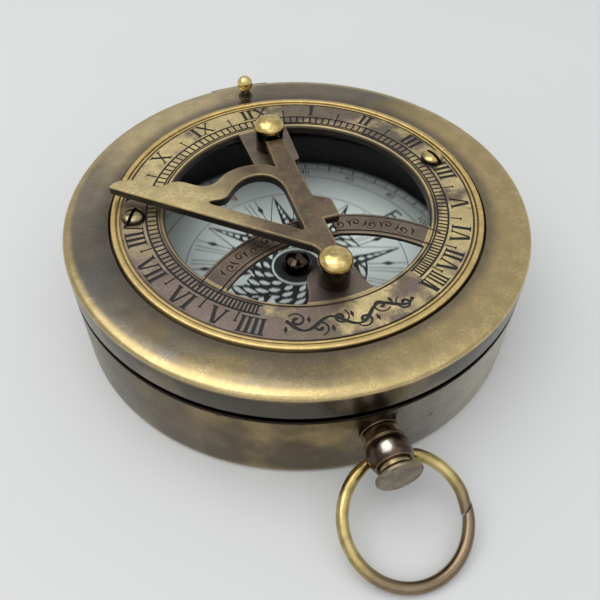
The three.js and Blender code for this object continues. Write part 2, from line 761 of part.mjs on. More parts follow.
compass.add(
  meshOf("lid_shell", lidShell(), agedBrass()),
  meshOf("lid_hinge_leaf", lidHingeLeaf(), agedBrass()),
  meshOf(
    "lid_strike",
    box(-STRIKE_HALF_WIDTH, STRIKE_HALF_WIDTH, -36.45, -35.95, LID_BOTTOM + 0.2, LID_BOTTOM + 1),
    agedBrass(),
  ),
  meshOf("dial_plate", dialPlate(), dialBrass()),
  meshOf("sight_bead", sightBead(), polishedBrass()),
);

for (const [name, x, turn] of [
  ["dial_screw_west", -SCREW_X, -0.54],
  ["dial_screw_east", SCREW_X, 0.27],
]) {
  const screw = meshOf(name, slottedScrew(1.9, 1.1, SCREW_SHANK, 2.4), polishedBrass());
  screw.position.set(x, SCREW_Y, DIAL_TOP + 0.05);
  screw.rotation.z = turn;
  compass.add(screw);
}

for (const [name, y, pinSide] of [
  ["front_post", FRONT_POST_Y, "north"],
  ["rear_post", REAR_POST_Y, "south"],
]) {
  const mesh = meshOf(name, post(pinSide), polishedBrass());
  mesh.position.y = y;
  compass.add(mesh);
}

const PIN_DEPTH = 1.2;

compass.add(
  meshOf("gnomon", gnomonPlate(), agedBrass()),
  meshOf("gnomon_pin_front", gnomonPin(FRONT_POST_Y + PIN_DEPTH, BAR_SOUTH + 1.5), steel()),
  meshOf("gnomon_pin_rear", gnomonPin(BAR_NORTH - 1.5, REAR_POST_Y - PIN_DEPTH), steel()),
);

export default compass;
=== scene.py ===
"""Looks of the push-button pocket sundial compass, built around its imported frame. Lengths are in mm."""

import contextlib
from math import acos, asin, atan2, cos, degrees, pi, radians, sin, sqrt, tan

import bmesh
import bpy
from mathutils import Matrix, Vector


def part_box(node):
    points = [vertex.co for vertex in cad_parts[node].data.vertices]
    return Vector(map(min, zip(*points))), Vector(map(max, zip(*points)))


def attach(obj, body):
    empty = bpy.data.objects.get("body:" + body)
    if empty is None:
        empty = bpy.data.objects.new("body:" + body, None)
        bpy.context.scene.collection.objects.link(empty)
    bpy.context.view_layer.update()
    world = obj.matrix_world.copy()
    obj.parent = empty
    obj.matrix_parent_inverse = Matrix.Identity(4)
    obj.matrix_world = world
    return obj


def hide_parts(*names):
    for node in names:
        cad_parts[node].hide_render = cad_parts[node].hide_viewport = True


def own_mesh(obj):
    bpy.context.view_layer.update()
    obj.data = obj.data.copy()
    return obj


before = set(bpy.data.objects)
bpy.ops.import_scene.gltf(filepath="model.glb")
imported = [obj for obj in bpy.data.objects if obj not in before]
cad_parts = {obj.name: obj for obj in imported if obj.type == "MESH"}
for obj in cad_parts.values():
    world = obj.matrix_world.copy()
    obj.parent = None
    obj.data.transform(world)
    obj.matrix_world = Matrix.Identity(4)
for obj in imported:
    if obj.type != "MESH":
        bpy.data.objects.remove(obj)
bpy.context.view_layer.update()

MM = 0.001
TAU = 2 * pi
SAME_POINT = 1e-6
SMOOTH_BELOW = 35
CUT_ABOVE = 0.6
SOFT_EDGE = 0.15


# ---- places taken from the frame


def box_mm(node):
    low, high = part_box(node)
    return low / MM, high / MM


def centre_mm(node):
    low, high = box_mm(node)
    return (low + high) / 2


CASE_RADIUS, _, LIP_TOP = box_mm("base_bowl")[1]
LID_BOTTOM, LID_TOP = (corner.z for corner in box_mm("lid_shell"))
DIAL_RADIUS, _, DIAL_RIM_TOP = box_mm("dial_plate")[1]
DIAL_BOTTOM = box_mm("dial_plate")[0].z
DIAL_TOP = DIAL_RIM_TOP - 0.29
FRONT_POST_Y = centre_mm("front_post").y
REAR_POST_Y = centre_mm("rear_post").y
POST_RADIUS, _, POST_TOP = box_mm("front_post")[1]
GNOMON_BOTTOM, GNOMON_TOP = (corner.z for corner in box_mm("gnomon"))
CARD_RADIUS, _, CARD_TOP = box_mm("compass_card")[1]
CARD_BOTTOM = box_mm("compass_card")[0].z
PENDANT_Z = centre_mm("push_button").z

GAP_Z = 13.8
LIP_RADIUS = 36.3
SKIRT_INNER_RADIUS = 36.6
LEDGE_RADIUS = 25
RECESS_RADIUS = DIAL_RADIUS + 0.3
WINDOW_RADIUS = 21.5
DIAL_FOOT_Y = -14.5
BRIDGE_CENTRE_Y = -29.4
BRIDGE_INNER = 21.2
BRIDGE_OUTER = 25.7
BRIDGE_TOP = DIAL_TOP - 0.1
BRIDGE_BOTTOM = DIAL_TOP - 0.75
OUTER_LINE = 28.35


# ---- materials


class Graph:
    """The node tree of a material or of the world."""

    def __init__(self, owner):
        owner.use_nodes = True
        self.nodes = owner.node_tree.nodes
        self.links = owner.node_tree.links

    def put(self, socket, value):
        if isinstance(value, bpy.types.NodeSocket):
            self.links.new(value, socket)
        else:
            socket.default_value = value

    def node(self, kind, inputs, output=0, **settings):
        fresh = self.nodes.new(kind)
        for key, value in settings.items():
            setattr(fresh, key, value)
        for key, value in inputs.items():
            self.put(fresh.inputs[key], value)
        return fresh.outputs[output]


class Look(Graph):
    """A procedural material: coordinates are the object's own, in mm, and colour is built up in coats."""

    def __init__(self, name):
        self.material = bpy.data.materials.new(name)
        super().__init__(self.material)
        self.nodes.clear()
        self.shader = self.nodes.new("ShaderNodeBsdfPrincipled")
        output = self.nodes.new("ShaderNodeOutputMaterial")
        self.links.new(self.shader.outputs[0], output.inputs[0])
        coordinates = self.nodes.new("ShaderNodeTexCoord").outputs["Object"]
        self.place = self.node("ShaderNodeVectorMath", {0: coordinates, 3: 1 / MM}, operation="SCALE")
        split = self.nodes.new("ShaderNodeSeparateXYZ")
        self.links.new(self.place, split.inputs[0])
        self.x, self.y, self.z = split.outputs
        self.colour = None

    @staticmethod
    def rgba(value):
        return (*value, 1) if isinstance(value, tuple) else value

    def noise(self, scale, detail=3, roughness=0.55):
        inputs = {"Vector": self.place, "Scale": scale, "Detail": detail, "Roughness": roughness}
        return self.node("ShaderNodeTexNoise", inputs)

    def ramp(self, value, low, high):
        inputs = {"Value": value, "From Min": low, "From Max": high}
        return self.node("ShaderNodeMapRange", inputs, interpolation_type="SMOOTHSTEP")

    def uneven(self, scale, low, high, detail=4):
        """A value that wanders between two limits, for roughness."""
        inputs = {"Value": self.noise(scale, detail), "To Min": low, "To Max": high}
        return self.node("ShaderNodeMapRange", inputs)

    def math(self, operation, a, b):
        return self.node("ShaderNodeMath", {0: a, 1: b}, operation=operation)

    def times(self, a, b):
        return self.math("MULTIPLY", a, b)

    def plus(self, a, b):
        return self.math("ADD", a, b)

    def minus(self, a, b):
        return self.math("SUBTRACT", a, b)

    def mix(self, factor, a, b):
        inputs = {0: factor, 6: self.rgba(a), 7: self.rgba(b)}
        return self.node("ShaderNodeMix", inputs, output=2, data_type="RGBA")

    def cover(self, mask, tint, amount=1):
        """Covers the colour so far with a tint where the mask is 1."""
        if amount != 1:
            mask = self.times(mask, amount)
        self.colour = self.mix(mask, self.colour, tint)

    def coat(self, value, low, high, tint, amount=1):
        """The same, where the value goes from low to high."""
        self.cover(self.ramp(value, low, high), tint, amount)

    def speckle(self, amount):
        """Fine dark mottling, as on metal that has been dipped and rubbed."""
        fine = self.ramp(self.noise(2.4, 6, 0.7), 0.38, 0.62)
        broad = self.ramp(self.noise(0.35, 4), 0.35, 0.65)
        self.cover(self.times(self.minus(1, self.times(fine, broad)), amount), (0.05, 0.035, 0.022))

    def vector(self, operation, a, b=None):
        """A measure of one vector or of two."""
        inputs = {0: a} if b is None else {0: a, 1: b}
        return self.node("ShaderNodeVectorMath", inputs, output="Value", operation=operation)

    def radius(self):
        flat = self.node("ShaderNodeVectorMath", {0: self.place, 1: (1, 1, 0)}, operation="MULTIPLY")
        return self.vector("LENGTH", flat)

    def edges(self, width):
        """1 along edges sharper than the rounding width, 0 on open faces."""
        rounded = self.node("ShaderNodeBevel", {"Radius": width * MM}, samples=4)
        normal = self.nodes.new("ShaderNodeNewGeometry").outputs["Normal"]
        return self.ramp(self.vector("DOT_PRODUCT", rounded, normal), 0.995, 0.9)

    def bump(self, height, distance, strength=1):
        inputs = {"Height": height, "Distance": distance * MM, "Strength": strength}
        return self.node("ShaderNodeBump", inputs)

    def finish(self, rough, normal=None, **inputs):
        inputs.update({"Base Color": self.rgba(self.colour), "Roughness": rough})
        if normal:
            inputs["Normal"] = normal
        for name, value in inputs.items():
            self.put(self.shader.inputs[name.replace("_", " ")], value)
        return self.material


# Near black, painted as shade in the gap between lid and base.
PAINTED_GAP_SHADE = (0.012, 0.01, 0.008)


def lid_brass():
    look = Look("lid_brass_patina")
    radius = look.radius()
    look.colour = look.mix(look.ramp(look.noise(0.055), 0.36, 0.64), (0.29, 0.235, 0.135), (0.48, 0.365, 0.175))
    look.coat(look.noise(0.16, 4, 0.6), 0.35, 0.7, (0.46, 0.345, 0.2), 0.35)
    # Lighter gold towards the east and south-east: a painted reflection.
    to_east = look.minus(look.x, look.times(look.y, 0.5))
    look.coat(to_east, 6, 28, (0.78, 0.59, 0.29), 0.8)
    off_south_east = look.ramp(look.minus(look.x, look.y), 32, 8)
    cool = look.times(look.ramp(look.noise(0.045), 0.47, 0.6), off_south_east)
    look.cover(cool, (0.23, 0.23, 0.235), 0.5)
    # Bright gold patches towards the north-west: a painted reflection over the gold tone.
    north_west = look.ramp(look.minus(look.y, look.times(look.x, 0.9)), 30, 42)
    gold_and_painted_reflection = look.times(north_west, look.ramp(look.noise(0.12, 4), 0.2, 0.5))
    look.cover(gold_and_painted_reflection, (0.95, 0.75, 0.42), 0.9)
    look.coat(look.x, -22, -32, (0.185, 0.183, 0.185), 0.7)
    # Painted shade on the lid top next to the dial's recess.
    look.coat(radius, 33, 30.4, (0.16, 0.14, 0.125), 0.7)
    side_colour = look.mix(look.ramp(look.noise(0.09), 0.45, 0.6), (0.09, 0.08, 0.065), (0.2, 0.155, 0.095))
    look.coat(look.z, 19.1, 18.6, side_colour)
    # Painted shade along the lid's lower edge, in the gap above the base.
    look.coat(look.z, LID_BOTTOM + 0.35, LID_BOTTOM + 0.1, PAINTED_GAP_SHADE)
    # A bright band round the shoulder: worn brass, with a painted highlight.
    rim = look.times(look.ramp(radius, 35.6, 36.6), look.ramp(look.z, 18.9, 19.3))
    look.cover(rim, (0.76, 0.59, 0.27), 0.85)
    look.speckle(0.28)
    bumps = look.plus(look.times(look.noise(3.2, 5, 0.7), 0.012), look.times(look.noise(0.22, 2), 0.1))
    return look.finish(look.uneven(0.5, 0.2, 0.32), look.bump(bumps, 1, 0.7), Metallic=1)


def base_brass():
    look = Look("base_brass_patina")
    look.colour = look.mix(look.ramp(look.noise(0.07), 0.4, 0.62), (0.14, 0.108, 0.06), (0.46, 0.345, 0.16))
    # Towards the east and south-east the brass is painted lighter and greyer, a painted reflection of the
    # bright floor; towards the west it is painted darker.
    to_east = look.minus(look.x, look.times(look.y, 0.4))
    look.coat(to_east, 4, 34, (0.6, 0.56, 0.47), 0.85)
    look.coat(look.noise(0.13, 4), 0.5, 0.7, (0.34, 0.22, 0.11), 0.4)
    look.coat(look.x, -8, -30, (0.13, 0.112, 0.085), 0.65)
    # Painted shade: blue-grey on the base's side beside and right of the pendant.
    by_pendant = look.times(look.ramp(look.x, -5, 5), look.ramp(look.x, 21, 8))
    painted_shade_by_pendant = look.times(by_pendant, look.ramp(look.y, -20, -32))
    look.cover(painted_shade_by_pendant, (0.15, 0.16, 0.175), 0.65)
    look.coat(look.z, 1.6, 0.3, (0.6, 0.45, 0.2), 0.6)
    pits = look.ramp(look.node("ShaderNodeTexVoronoi", {"Vector": look.place, "Scale": 0.16}), 0.11, 0.04)
    look.cover(pits, (0.04, 0.03, 0.025), 0.7)
    # Painted shade on the base's lip and top edge, in the gap under the lid.
    look.coat(look.z, GAP_Z - 0.5, GAP_Z - 0.2, PAINTED_GAP_SHADE)
    look.speckle(0.3)
    bumps = look.plus(look.times(look.noise(3, 5), 0.01), look.times(pits, -0.05))
    return look.finish(look.uneven(0.6, 0.22, 0.38), look.bump(bumps, 1, 0.7), Metallic=1)


def dial_brass():
    look = Look("dial_brass_engraved")
    radius = look.radius()
    # The gold mask: a painted reflection, more gold towards the south-east and north-west and less towards the
    # north-east and south-west; a little less gold towards the south; and random tone.
    painted_reflection_diagonal = look.times(look.times(look.x, look.y), -0.00022)
    southern = look.times(look.ramp(look.y, -12, -24), -0.07)
    gold_and_painted_reflection = look.plus(look.plus(painted_reflection_diagonal, southern), look.noise(0.13, 5, 0.6))
    look.colour = look.mix(look.ramp(gold_and_painted_reflection, 0.4, 0.54), (0.32, 0.26, 0.19), (1, 0.8, 0.4))
    look.coat(look.noise(0.19), 0.54, 0.64, (0.36, 0.25, 0.25), 0.5)
    # Darker towards the south-west, where the engraving's ink is also paler.
    to_south_west = look.ramp(look.plus(look.times(look.x, -1), look.times(look.y, -0.5)), 16, 27)
    look.cover(to_south_west, (0.36, 0.28, 0.25), 0.6)
    look.coat(radius, OUTER_LINE - 0.2, OUTER_LINE + 0.3, (0.95, 0.7, 0.27), 0.85)
    inner_edge = look.times(look.ramp(radius, WINDOW_RADIUS + 0.6, WINDOW_RADIUS + 0.4), 0.75)
    ring_only = look.ramp(radius, WINDOW_RADIUS - 0.25, WINDOW_RADIUS - 0.05)
    look.cover(look.times(inner_edge, ring_only), (0.85, 0.66, 0.32))
    # Darker brown on the bridge, web and tongue inside the window, which also stands in for their shade.
    inside = look.ramp(radius, WINDOW_RADIUS, WINDOW_RADIUS - 0.2)
    look.cover(inside, (0.2, 0.16, 0.145), 0.88)
    # Painted shade on the window's wall and on the lower sides of the bridge, web and tongue.
    wall = look.times(look.ramp(radius, WINDOW_RADIUS + 0.06, WINDOW_RADIUS + 0.02), 0.9)
    low = look.ramp(look.z, BRIDGE_TOP - 0.35, BRIDGE_TOP - 0.5)
    look.cover(look.times(wall, low), (0.03, 0.025, 0.02))
    look.cover(look.times(look.edges(0.25), inside), (0.75, 0.48, 0.28), 0.75)
    look.speckle(0.3)
    ring_cut = look.ramp(look.z, DIAL_TOP - 0.02, DIAL_TOP - 0.07)
    on_ring = look.ramp(radius, WINDOW_RADIUS + 0.1, WINDOW_RADIUS + 0.4)
    bridge_cut = look.ramp(look.z, BRIDGE_TOP - 0.02, BRIDGE_TOP - 0.07)
    ink = look.mix(on_ring, bridge_cut, ring_cut)
    depth = look.minus(0.94, look.times(to_south_west, 0.3))
    look.cover(look.times(ink, depth), (0.018, 0.011, 0.008))
    metal = look.minus(1, look.times(ink, 0.7))
    grain = look.noise(2.2, 5, 0.7)
    return look.finish(look.uneven(0.7, 0.3, 0.48), look.bump(grain, 0.03, 0.9), Metallic=metal)


def gnomon_brass():
    look = Look("gnomon_cast_brass")
    clouds = look.ramp(look.noise(0.14, 6, 0.7), 0.34, 0.66)
    look.colour = look.mix(clouds, (0.14, 0.107, 0.083), (0.3, 0.235, 0.145))
    look.coat(look.noise(0.3, 5, 0.65), 0.5, 0.64, (0.36, 0.2, 0.14), 0.45)
    look.coat(look.x, -5, -18, (1, 0.8, 0.4), 0.9)
    look.cover(look.edges(0.45), (0.92, 0.7, 0.32), 0.8)
    look.speckle(0.35)
    # The plate's sides are painted near black and less metallic: painted shade.
    side = look.ramp(look.z, GNOMON_TOP - 0.28, GNOMON_TOP - 0.42)
    look.cover(side, (0.014, 0.01, 0.008))
    metal = look.minus(1, look.times(side, 0.85))
    grain = look.noise(2.6, 6, 0.8)
    return look.finish(look.uneven(1.2, 0.3, 0.5), look.bump(grain, 0.09), Metallic=metal)


def polished_brass(name, body_top, body_colour, low=(0.6, 0.44, 0.15), high=(0.88, 0.68, 0.3)):
    """Bright brass above body_top and the body colour below it; on the posts the near-black body is painted
    shade.
    """
    look = Look(name)
    look.colour = body_colour
    shine = look.mix(look.ramp(look.noise(0.9), 0.4, 0.65), low, high)
    look.coat(look.z, body_top - 0.35, body_top + 0.15, shine)
    dents = look.bump(look.noise(0.8, 2), 0.03, 0.6)
    return look.finish(look.uneven(2, 0.1, 0.24), dents, Metallic=1)


def patchy(name, scale, dark, light, low=0.38, high=0.66):
    """A look whose first coat is blotches of two colours."""
    look = Look(name)
    look.colour = look.mix(look.ramp(look.noise(scale, 4), low, high), dark, light)
    return look


def dark_bronze():
    """Nearly black bronze, with a painted highlight on top of the barrel."""
    look = patchy("pendant_bronze", 0.5, (0.05, 0.032, 0.025), (0.12, 0.08, 0.058))
    # A painted highlight: a pale patch on top of the pendant's barrel.
    from_painted_highlight = look.vector("DISTANCE", look.place, (-0.9, -41.6, PENDANT_Z + 3))
    look.coat(from_painted_highlight, 1.5, 0.3, (0.7, 0.66, 0.6), 0.75)
    look.cover(look.edges(0.2), (0.6, 0.47, 0.25), 0.6)
    return look.finish(look.uneven(1.6, 0.1, 0.18), look.bump(look.noise(3), 0.004), Metallic=1)


def button_brass():
    look = patchy("button_worn_brass", 0.6, (0.17, 0.14, 0.1), (0.28, 0.23, 0.155))
    look.coat(look.y, -44.95, -44.6, (0.6, 0.47, 0.25), 0.75)
    look.cover(look.edges(0.2), (0.85, 0.7, 0.42), 0.8)
    return look.finish(look.uneven(1.6, 0.22, 0.36), look.bump(look.noise(1.6), 0.02), Metallic=1)


def bow_brass():
    """Yellow near the pendant and towards the case's side, browner at the far end of the ring."""
    look = patchy("bow_wire_brass", 0.25, (0.34, 0.26, 0.1), (0.6, 0.47, 0.2))
    outwards = look.plus(look.times(look.y, -1), look.times(look.x, 0.4))
    browner = look.mix(look.noise(0.6, 4), (0.16, 0.11, 0.075), (0.27, 0.2, 0.14))
    look.coat(outwards, 48, 54, browner, 0.9)
    return look.finish(look.uneven(1.8, 0.16, 0.3), look.bump(look.noise(2.2), 0.01), Metallic=1)


def steel():
    look = patchy("plain_steel", 0.8, (0.3, 0.29, 0.28), (0.52, 0.51, 0.49), 0.4, 0.7)
    return look.finish(look.uneven(2, 0.25, 0.45), look.bump(look.noise(3), 0.01), Metallic=1)


def mottled(name, noise, dark, light):
    """A look of one colour that wanders a little; noise is its scale and detail."""
    look = Look(name)
    look.colour = look.mix(look.noise(*noise), dark, light)
    return look


def black_paint():
    look = mottled("black_stove_paint", (0.8, 5), (0.006, 0.006, 0.006), (0.02, 0.02, 0.019))
    return look.finish(look.uneven(1.4, 0.5, 0.7, 3), look.bump(look.noise(4, 4), 0.02))


def rubber():
    look = mottled("gasket_rubber", (1.5, 4), (0.015, 0.015, 0.015), (0.04, 0.04, 0.04))
    return look.finish(0.8, look.bump(look.noise(3, 4), 0.03))


def glass():
    look = Look("window_glass")
    look.colour = (0.93, 0.97, 0.95)
    return look.finish(look.uneven(0.12, 0.02, 0.07), Transmission_Weight=1, IOR=1.02, Alpha=0.35)


def card_white():
    look = mottled("card_enamel", (0.15, 4), (0.86, 0.93, 0.89), (0.93, 0.98, 0.95))
    return look.finish(0.45, look.bump(look.noise(1.5), 0.01))


def card_ink(name, light, dark):
    return mottled(name, (1.1, 4), dark, light).finish(0.6, Specular_IOR_Level=0.2)


def ruby():
    return mottled("pivot_jewel", (1, 3), (0.2, 0.01, 0.02), (0.45, 0.04, 0.07)).finish(0.12)


LID_BRASS = lid_brass()
BASE_BRASS = base_brass()
DIAL_BRASS = dial_brass()
GNOMON_BRASS = gnomon_brass()
# The posts' near-black body below the dome is painted shade.
POST_BRASS = polished_brass("post_polished_brass", POST_TOP - 1.6, (0.022, 0.017, 0.014))
BEAD_BRASS = polished_brass("bead_polished_brass", LID_TOP + 1.6, (0.12, 0.09, 0.05))
SCREW_BRASS = polished_brass("screw_polished_brass", DIAL_TOP + 0.85, (0.06, 0.045, 0.03))
DULL = ((0.2, 0.17, 0.09), (0.45, 0.37, 0.2))
DULL_SCREW_BRASS = polished_brass("screw_dull_brass", DIAL_TOP + 0.85, (0.05, 0.04, 0.03), *DULL)
PENDANT_BRONZE = dark_bronze()
BUTTON_BRASS = button_brass()
BOW_BRASS = bow_brass()
STEEL = steel()
BLACK = black_paint()
RUBBER = rubber()
GLASS = glass()
CARD_WHITE = card_white()
INK = card_ink("card_black_ink", (0.05, 0.055, 0.055), (0.02, 0.022, 0.024))
INK_RED = card_ink("card_red_ink", (0.75, 0.33, 0.24), (0.62, 0.24, 0.18))
INK_WHITE = card_ink("card_white_ink", (0.93, 0.98, 0.95), (0.86, 0.93, 0.89))


# ---- mesh building


def placed(name, data, material=None):
    """A new object in the scene."""
    if material:
        data.materials.clear()
        data.materials.append(material)
    thing = bpy.data.objects.new(name, data)
    bpy.context.scene.collection.objects.link(thing)
    return thing


@contextlib.contextmanager
def editing(mesh):
    work = bmesh.new()
    work.from_mesh(mesh)
    yield work
    work.to_mesh(mesh)
    work.free()


def weld(work):
    bmesh.ops.remove_doubles(work, verts=work.verts, dist=SAME_POINT)


def crease(piece, smooth):
    """Smooth shading below the given angle in degrees."""
    piece.data.shade_smooth()
    piece.data.set_sharp_from_angle(angle=radians(smooth))


def shade(piece, smooth):
    """Outward faces, smooth below the given angle."""
    with editing(piece.data) as work:
        bmesh.ops.recalc_face_normals(work, faces=work.faces)
    crease(piece, smooth)


def made(name, points, faces, material, smooth=SMOOTH_BELOW):
    mesh = bpy.data.meshes.new(name)
    mesh.from_pydata([Vector(point) * MM for point in points], [], faces)
    piece = placed(name, mesh, material)
    shade(piece, smooth)
    return piece


def skin(rows):
    """Faces between neighbouring rows of point numbers, each row closed on itself."""
    faces = []
    for low, high in zip(rows, rows[1:]):
        for i in range(len(low)):
            j = (i + 1) % len(low)
            faces.append(list(dict.fromkeys((low[i], low[j], high[j], high[i]))))
    return faces


def tube(name, rings, material):
    """A tube through rings of points, closed at both ends."""
    sides = len(rings[0])
    rows = [list(range(i * sides, (i + 1) * sides)) for i in range(len(rings))]
    points = [point for ring in rings for point in ring]
    return made(name, points, [rows[0][::-1], rows[-1]] + skin(rows), material)


def lathe(name, profile, material, segments, place=None, smooth=SMOOTH_BELOW):
    """A solid of revolution: the profile of (radius, z) starts and ends on the axis, or closes on itself."""
    place = place or Matrix.Identity(4)
    points, rows = [], []
    for radius, z in profile:
        if radius == 0:
            rows.append([len(points)] * segments)
            points.append(place @ Vector((0, 0, z)))
            continue
        rows.append(list(range(len(points), len(points) + segments)))
        for i in range(segments):
            angle = TAU * i / segments
            points.append(place @ Vector((radius * cos(angle), radius * sin(angle), z)))
    if profile[0][0] != 0:
        rows.append(rows[0])
    return made(name, points, skin(rows), material, smooth)


def filleted(corners, steps=5):
    """Points of an outline whose corners, each (x, y, radius), are rounded by arcs."""
    result = []
    for i, (x, y, radius) in enumerate(corners):
        here = Vector((x, y))
        before = (Vector(corners[i - 1][:2]) - here).normalized()
        after = (Vector(corners[(i + 1) % len(corners)][:2]) - here).normalized()
        half = before.angle(after) / 2
        if radius == 0 or half < 0.02 or half > pi / 2 - 0.02:
            result.append((x, y))
            continue
        centre = here + (before + after).normalized() * (radius / sin(half))
        start = here + before * (radius / tan(half)) - centre
        end = here + after * (radius / tan(half)) - centre
        first = atan2(start.y, start.x)
        sweep = (atan2(end.y, end.x) - first + pi) % TAU - pi
        for step in range(steps + 1):
            angle = first + sweep * step / steps
            result.append((centre.x + radius * cos(angle), centre.y + radius * sin(angle)))
    return result


def prism(name, loops, bottom, top, material, bevel=0):
    """A flat plate from an outline and its holes, with rounded edges."""
    body = bmesh.new()
    edges = []
    for loop in loops:
        corners = [body.verts.new((x * MM, y * MM, bottom * MM)) for x, y in loop]
        edges += [body.edges.new((corners[i - 1], corners[i])) for i in range(len(corners))]
    bmesh.ops.triangle_fill(body, use_beauty=True, use_dissolve=False, edges=edges)
    raised = bmesh.ops.extrude_face_region(body, geom=body.faces[:])
    lifted = [item for item in raised["geom"] if isinstance(item, bmesh.types.BMVert)]
    bmesh.ops.translate(body, vec=(0, 0, (top - bottom) * MM), verts=lifted)
    bmesh.ops.recalc_face_normals(body, faces=body.faces)
    if bevel:
        bmesh.ops.dissolve_limit(body, angle_limit=0.01, verts=body.verts, edges=body.edges)
        level = [e for e in body.edges if abs(e.verts[0].co.z - e.verts[1].co.z) < 1e-7]
        rims = [e for e in level if e.calc_face_angle(0) > 1.2]
        shape = {"offset": bevel * MM, "segments": 3, "profile": 0.6}
        bmesh.ops.bevel(body, geom=rims, affect="EDGES", clamp_overlap=True, **shape)
    mesh = bpy.data.meshes.new(name)
    body.to_mesh(mesh)
    body.free()
    piece = placed(name, mesh, material)
    shade(piece, SMOOTH_BELOW)
    return piece


def bar(axis, radius, start, end, across, up):
    """A cylinder along x or y, used as a cutter."""
    turn = Matrix.Rotation(pi / 2, 4, "Y" if axis == "x" else "X")
    middle = (start + end) / 2
    where = (middle, across, up) if axis == "x" else (across, middle, up)
    half = abs(end - start) / 2
    profile = [(0, -half), (radius, -half), (radius, half), (0, half)]
    return lathe("cutter", profile, BLACK, 32, Matrix.Translation(where) @ turn)


def settle(piece):
    """Applies the piece's modifiers."""
    graph = bpy.context.evaluated_depsgraph_get()
    mesh = bpy.data.meshes.new_from_object(piece.evaluated_get(graph))
    piece.modifiers.clear()
    before = piece.data
    piece.data = mesh
    bpy.data.meshes.remove(before)


def carve(piece, cutter, operation="DIFFERENCE"):
    step = piece.modifiers.new("carve", "BOOLEAN")
    step.operation = operation
    step.solver = "MANIFOLD"
    step.object = cutter
    settle(piece)
    bpy.data.objects.remove(cutter)
    return piece


def strips(ribbons, bottom, top):
    """One cutter or inlay from several ribbons, each a list of (left, right) pairs of points."""
    points, faces = [], []
    for ribbon in ribbons:
        first = len(points)
        for left, right in ribbon:
            for x, y in (left, right):
                points += [(x, y, bottom), (x, y, top)]
        for i in range(len(ribbon) - 1):
            a = first + 4 * i
            b = a + 4
            faces += [(a, b, b + 2, a + 2), (a + 1, a + 3, b + 3, b + 1)]
            faces += [(a, a + 1, b + 1, b), (a + 2, b + 2, b + 3, a + 3)]
        last = first + 4 * (len(ribbon) - 1)
        faces += [(first, first + 2, first + 3, first + 1), (last, last + 1, last + 3, last + 2)]
    return points, faces


def inlay(name, ribbons, bottom, top, material):
    return made(name, *strips(ribbons, bottom, top), material)


def quarter(steps, first=0, start=0):
    """Angles from start up to a right angle; first is the first step given."""
    return [start + (pi / 2 - start) * i / steps for i in range(first, steps + 1)]


def engrave(piece, ribbons, surface, depth):
    carve(piece, inlay("cutter", ribbons, surface - depth, surface + CUT_ABOVE, BLACK))


def polar(azimuth, radius, centre_y=0):
    """A point by its azimuth in degrees clockwise from north."""
    angle = radians(azimuth)
    return radius * sin(angle), centre_y + radius * cos(angle)


def arc_line(start, end, radius, width, centre_y=0, step=1.5):
    count = max(2, round(abs(end - start) / step) + 1)
    azimuths = [start + (end - start) * i / (count - 1) for i in range(count)]
    inner = radius - width / 2
    outer = radius + width / 2
    return [(polar(a, inner, centre_y), polar(a, outer, centre_y)) for a in azimuths]


def brush(path, widths):
    """A ribbon along a path of points, with a width at each point."""
    ribbon = []
    for i, (x, y) in enumerate(path):
        before = path[max(i - 1, 0)]
        after = path[min(i + 1, len(path) - 1)]
        along = Vector((after[0] - before[0], after[1] - before[1])).normalized()
        across = Vector((-along.y, along.x)) * widths[i] / 2
        ribbon.append(((x + across.x, y + across.y), (x - across.x, y - across.y)))
    return ribbon


# ---- case


def base():
    wall = CASE_RADIUS - 1.9
    profile = filleted(
        [
            (0, 0, 0), (36.5, 0, 0.4), (CASE_RADIUS, 0.45, 0.7), (CASE_RADIUS, GAP_Z, 0.18),
            (LIP_RADIUS, GAP_Z, 0.1), (LIP_RADIUS, LIP_TOP, 0.2), (wall, LIP_TOP, 0.2), (wall, 1.5, 0.6),
            (0, 1.5, 0),
        ]
    )
    piece = lathe("base_case", profile, BASE_BRASS, 256)
    carve(piece, bar("y", 2.1, -39, -33, 0, PENDANT_Z))
    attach(piece, "case")
    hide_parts("base_bowl")


PENDANT_PLACE = Matrix.Translation((0, 0, PENDANT_Z)) @ Matrix.Rotation(pi / 2, 4, "X")
BOW_PIVOT = Vector((0, -40.95, PENDANT_Z - 1.95))


def pendant():
    flange = filleted([(2, 35.8, 0), (2, 37.65, 0), (2.9, 37.65, 0.1), (2.9, 38.05, 0.12), (2.5, 38.15, 0)])
    ribs = []
    for i in range(5):
        start = 38.2 + 0.28 * i
        ribs += [(2.38, start), (2.52, start + 0.07), (2.52, start + 0.17), (2.38, start + 0.24)]
    barrel = filleted(
        [
            (2.55, 39.6, 0), (3.05, 39.62, 0.1), (3.05, 39.88, 0.1), (2.75, 39.95, 0.1), (3.2, 40.4, 1.6),
            (3.2, 42.5, 1.6), (2.8, 43.3, 0),
        ]
    )
    profile = [(0, 35.8)] + flange + ribs + barrel + [(0, 43.3)]
    piece = lathe("pendant", profile, PENDANT_BRONZE, 96, PENDANT_PLACE, smooth=28)
    carve(piece, bar("y", 2.4, -50, -42.2, 0, PENDANT_Z))
    carve(piece, bar("y", 0.7, -50, -30, 0, PENDANT_Z))
    carve(piece, bar("x", 1.13, -5, 5, BOW_PIVOT.y, BOW_PIVOT.z))
    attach(piece, "case")
    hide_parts("pendant_neck")


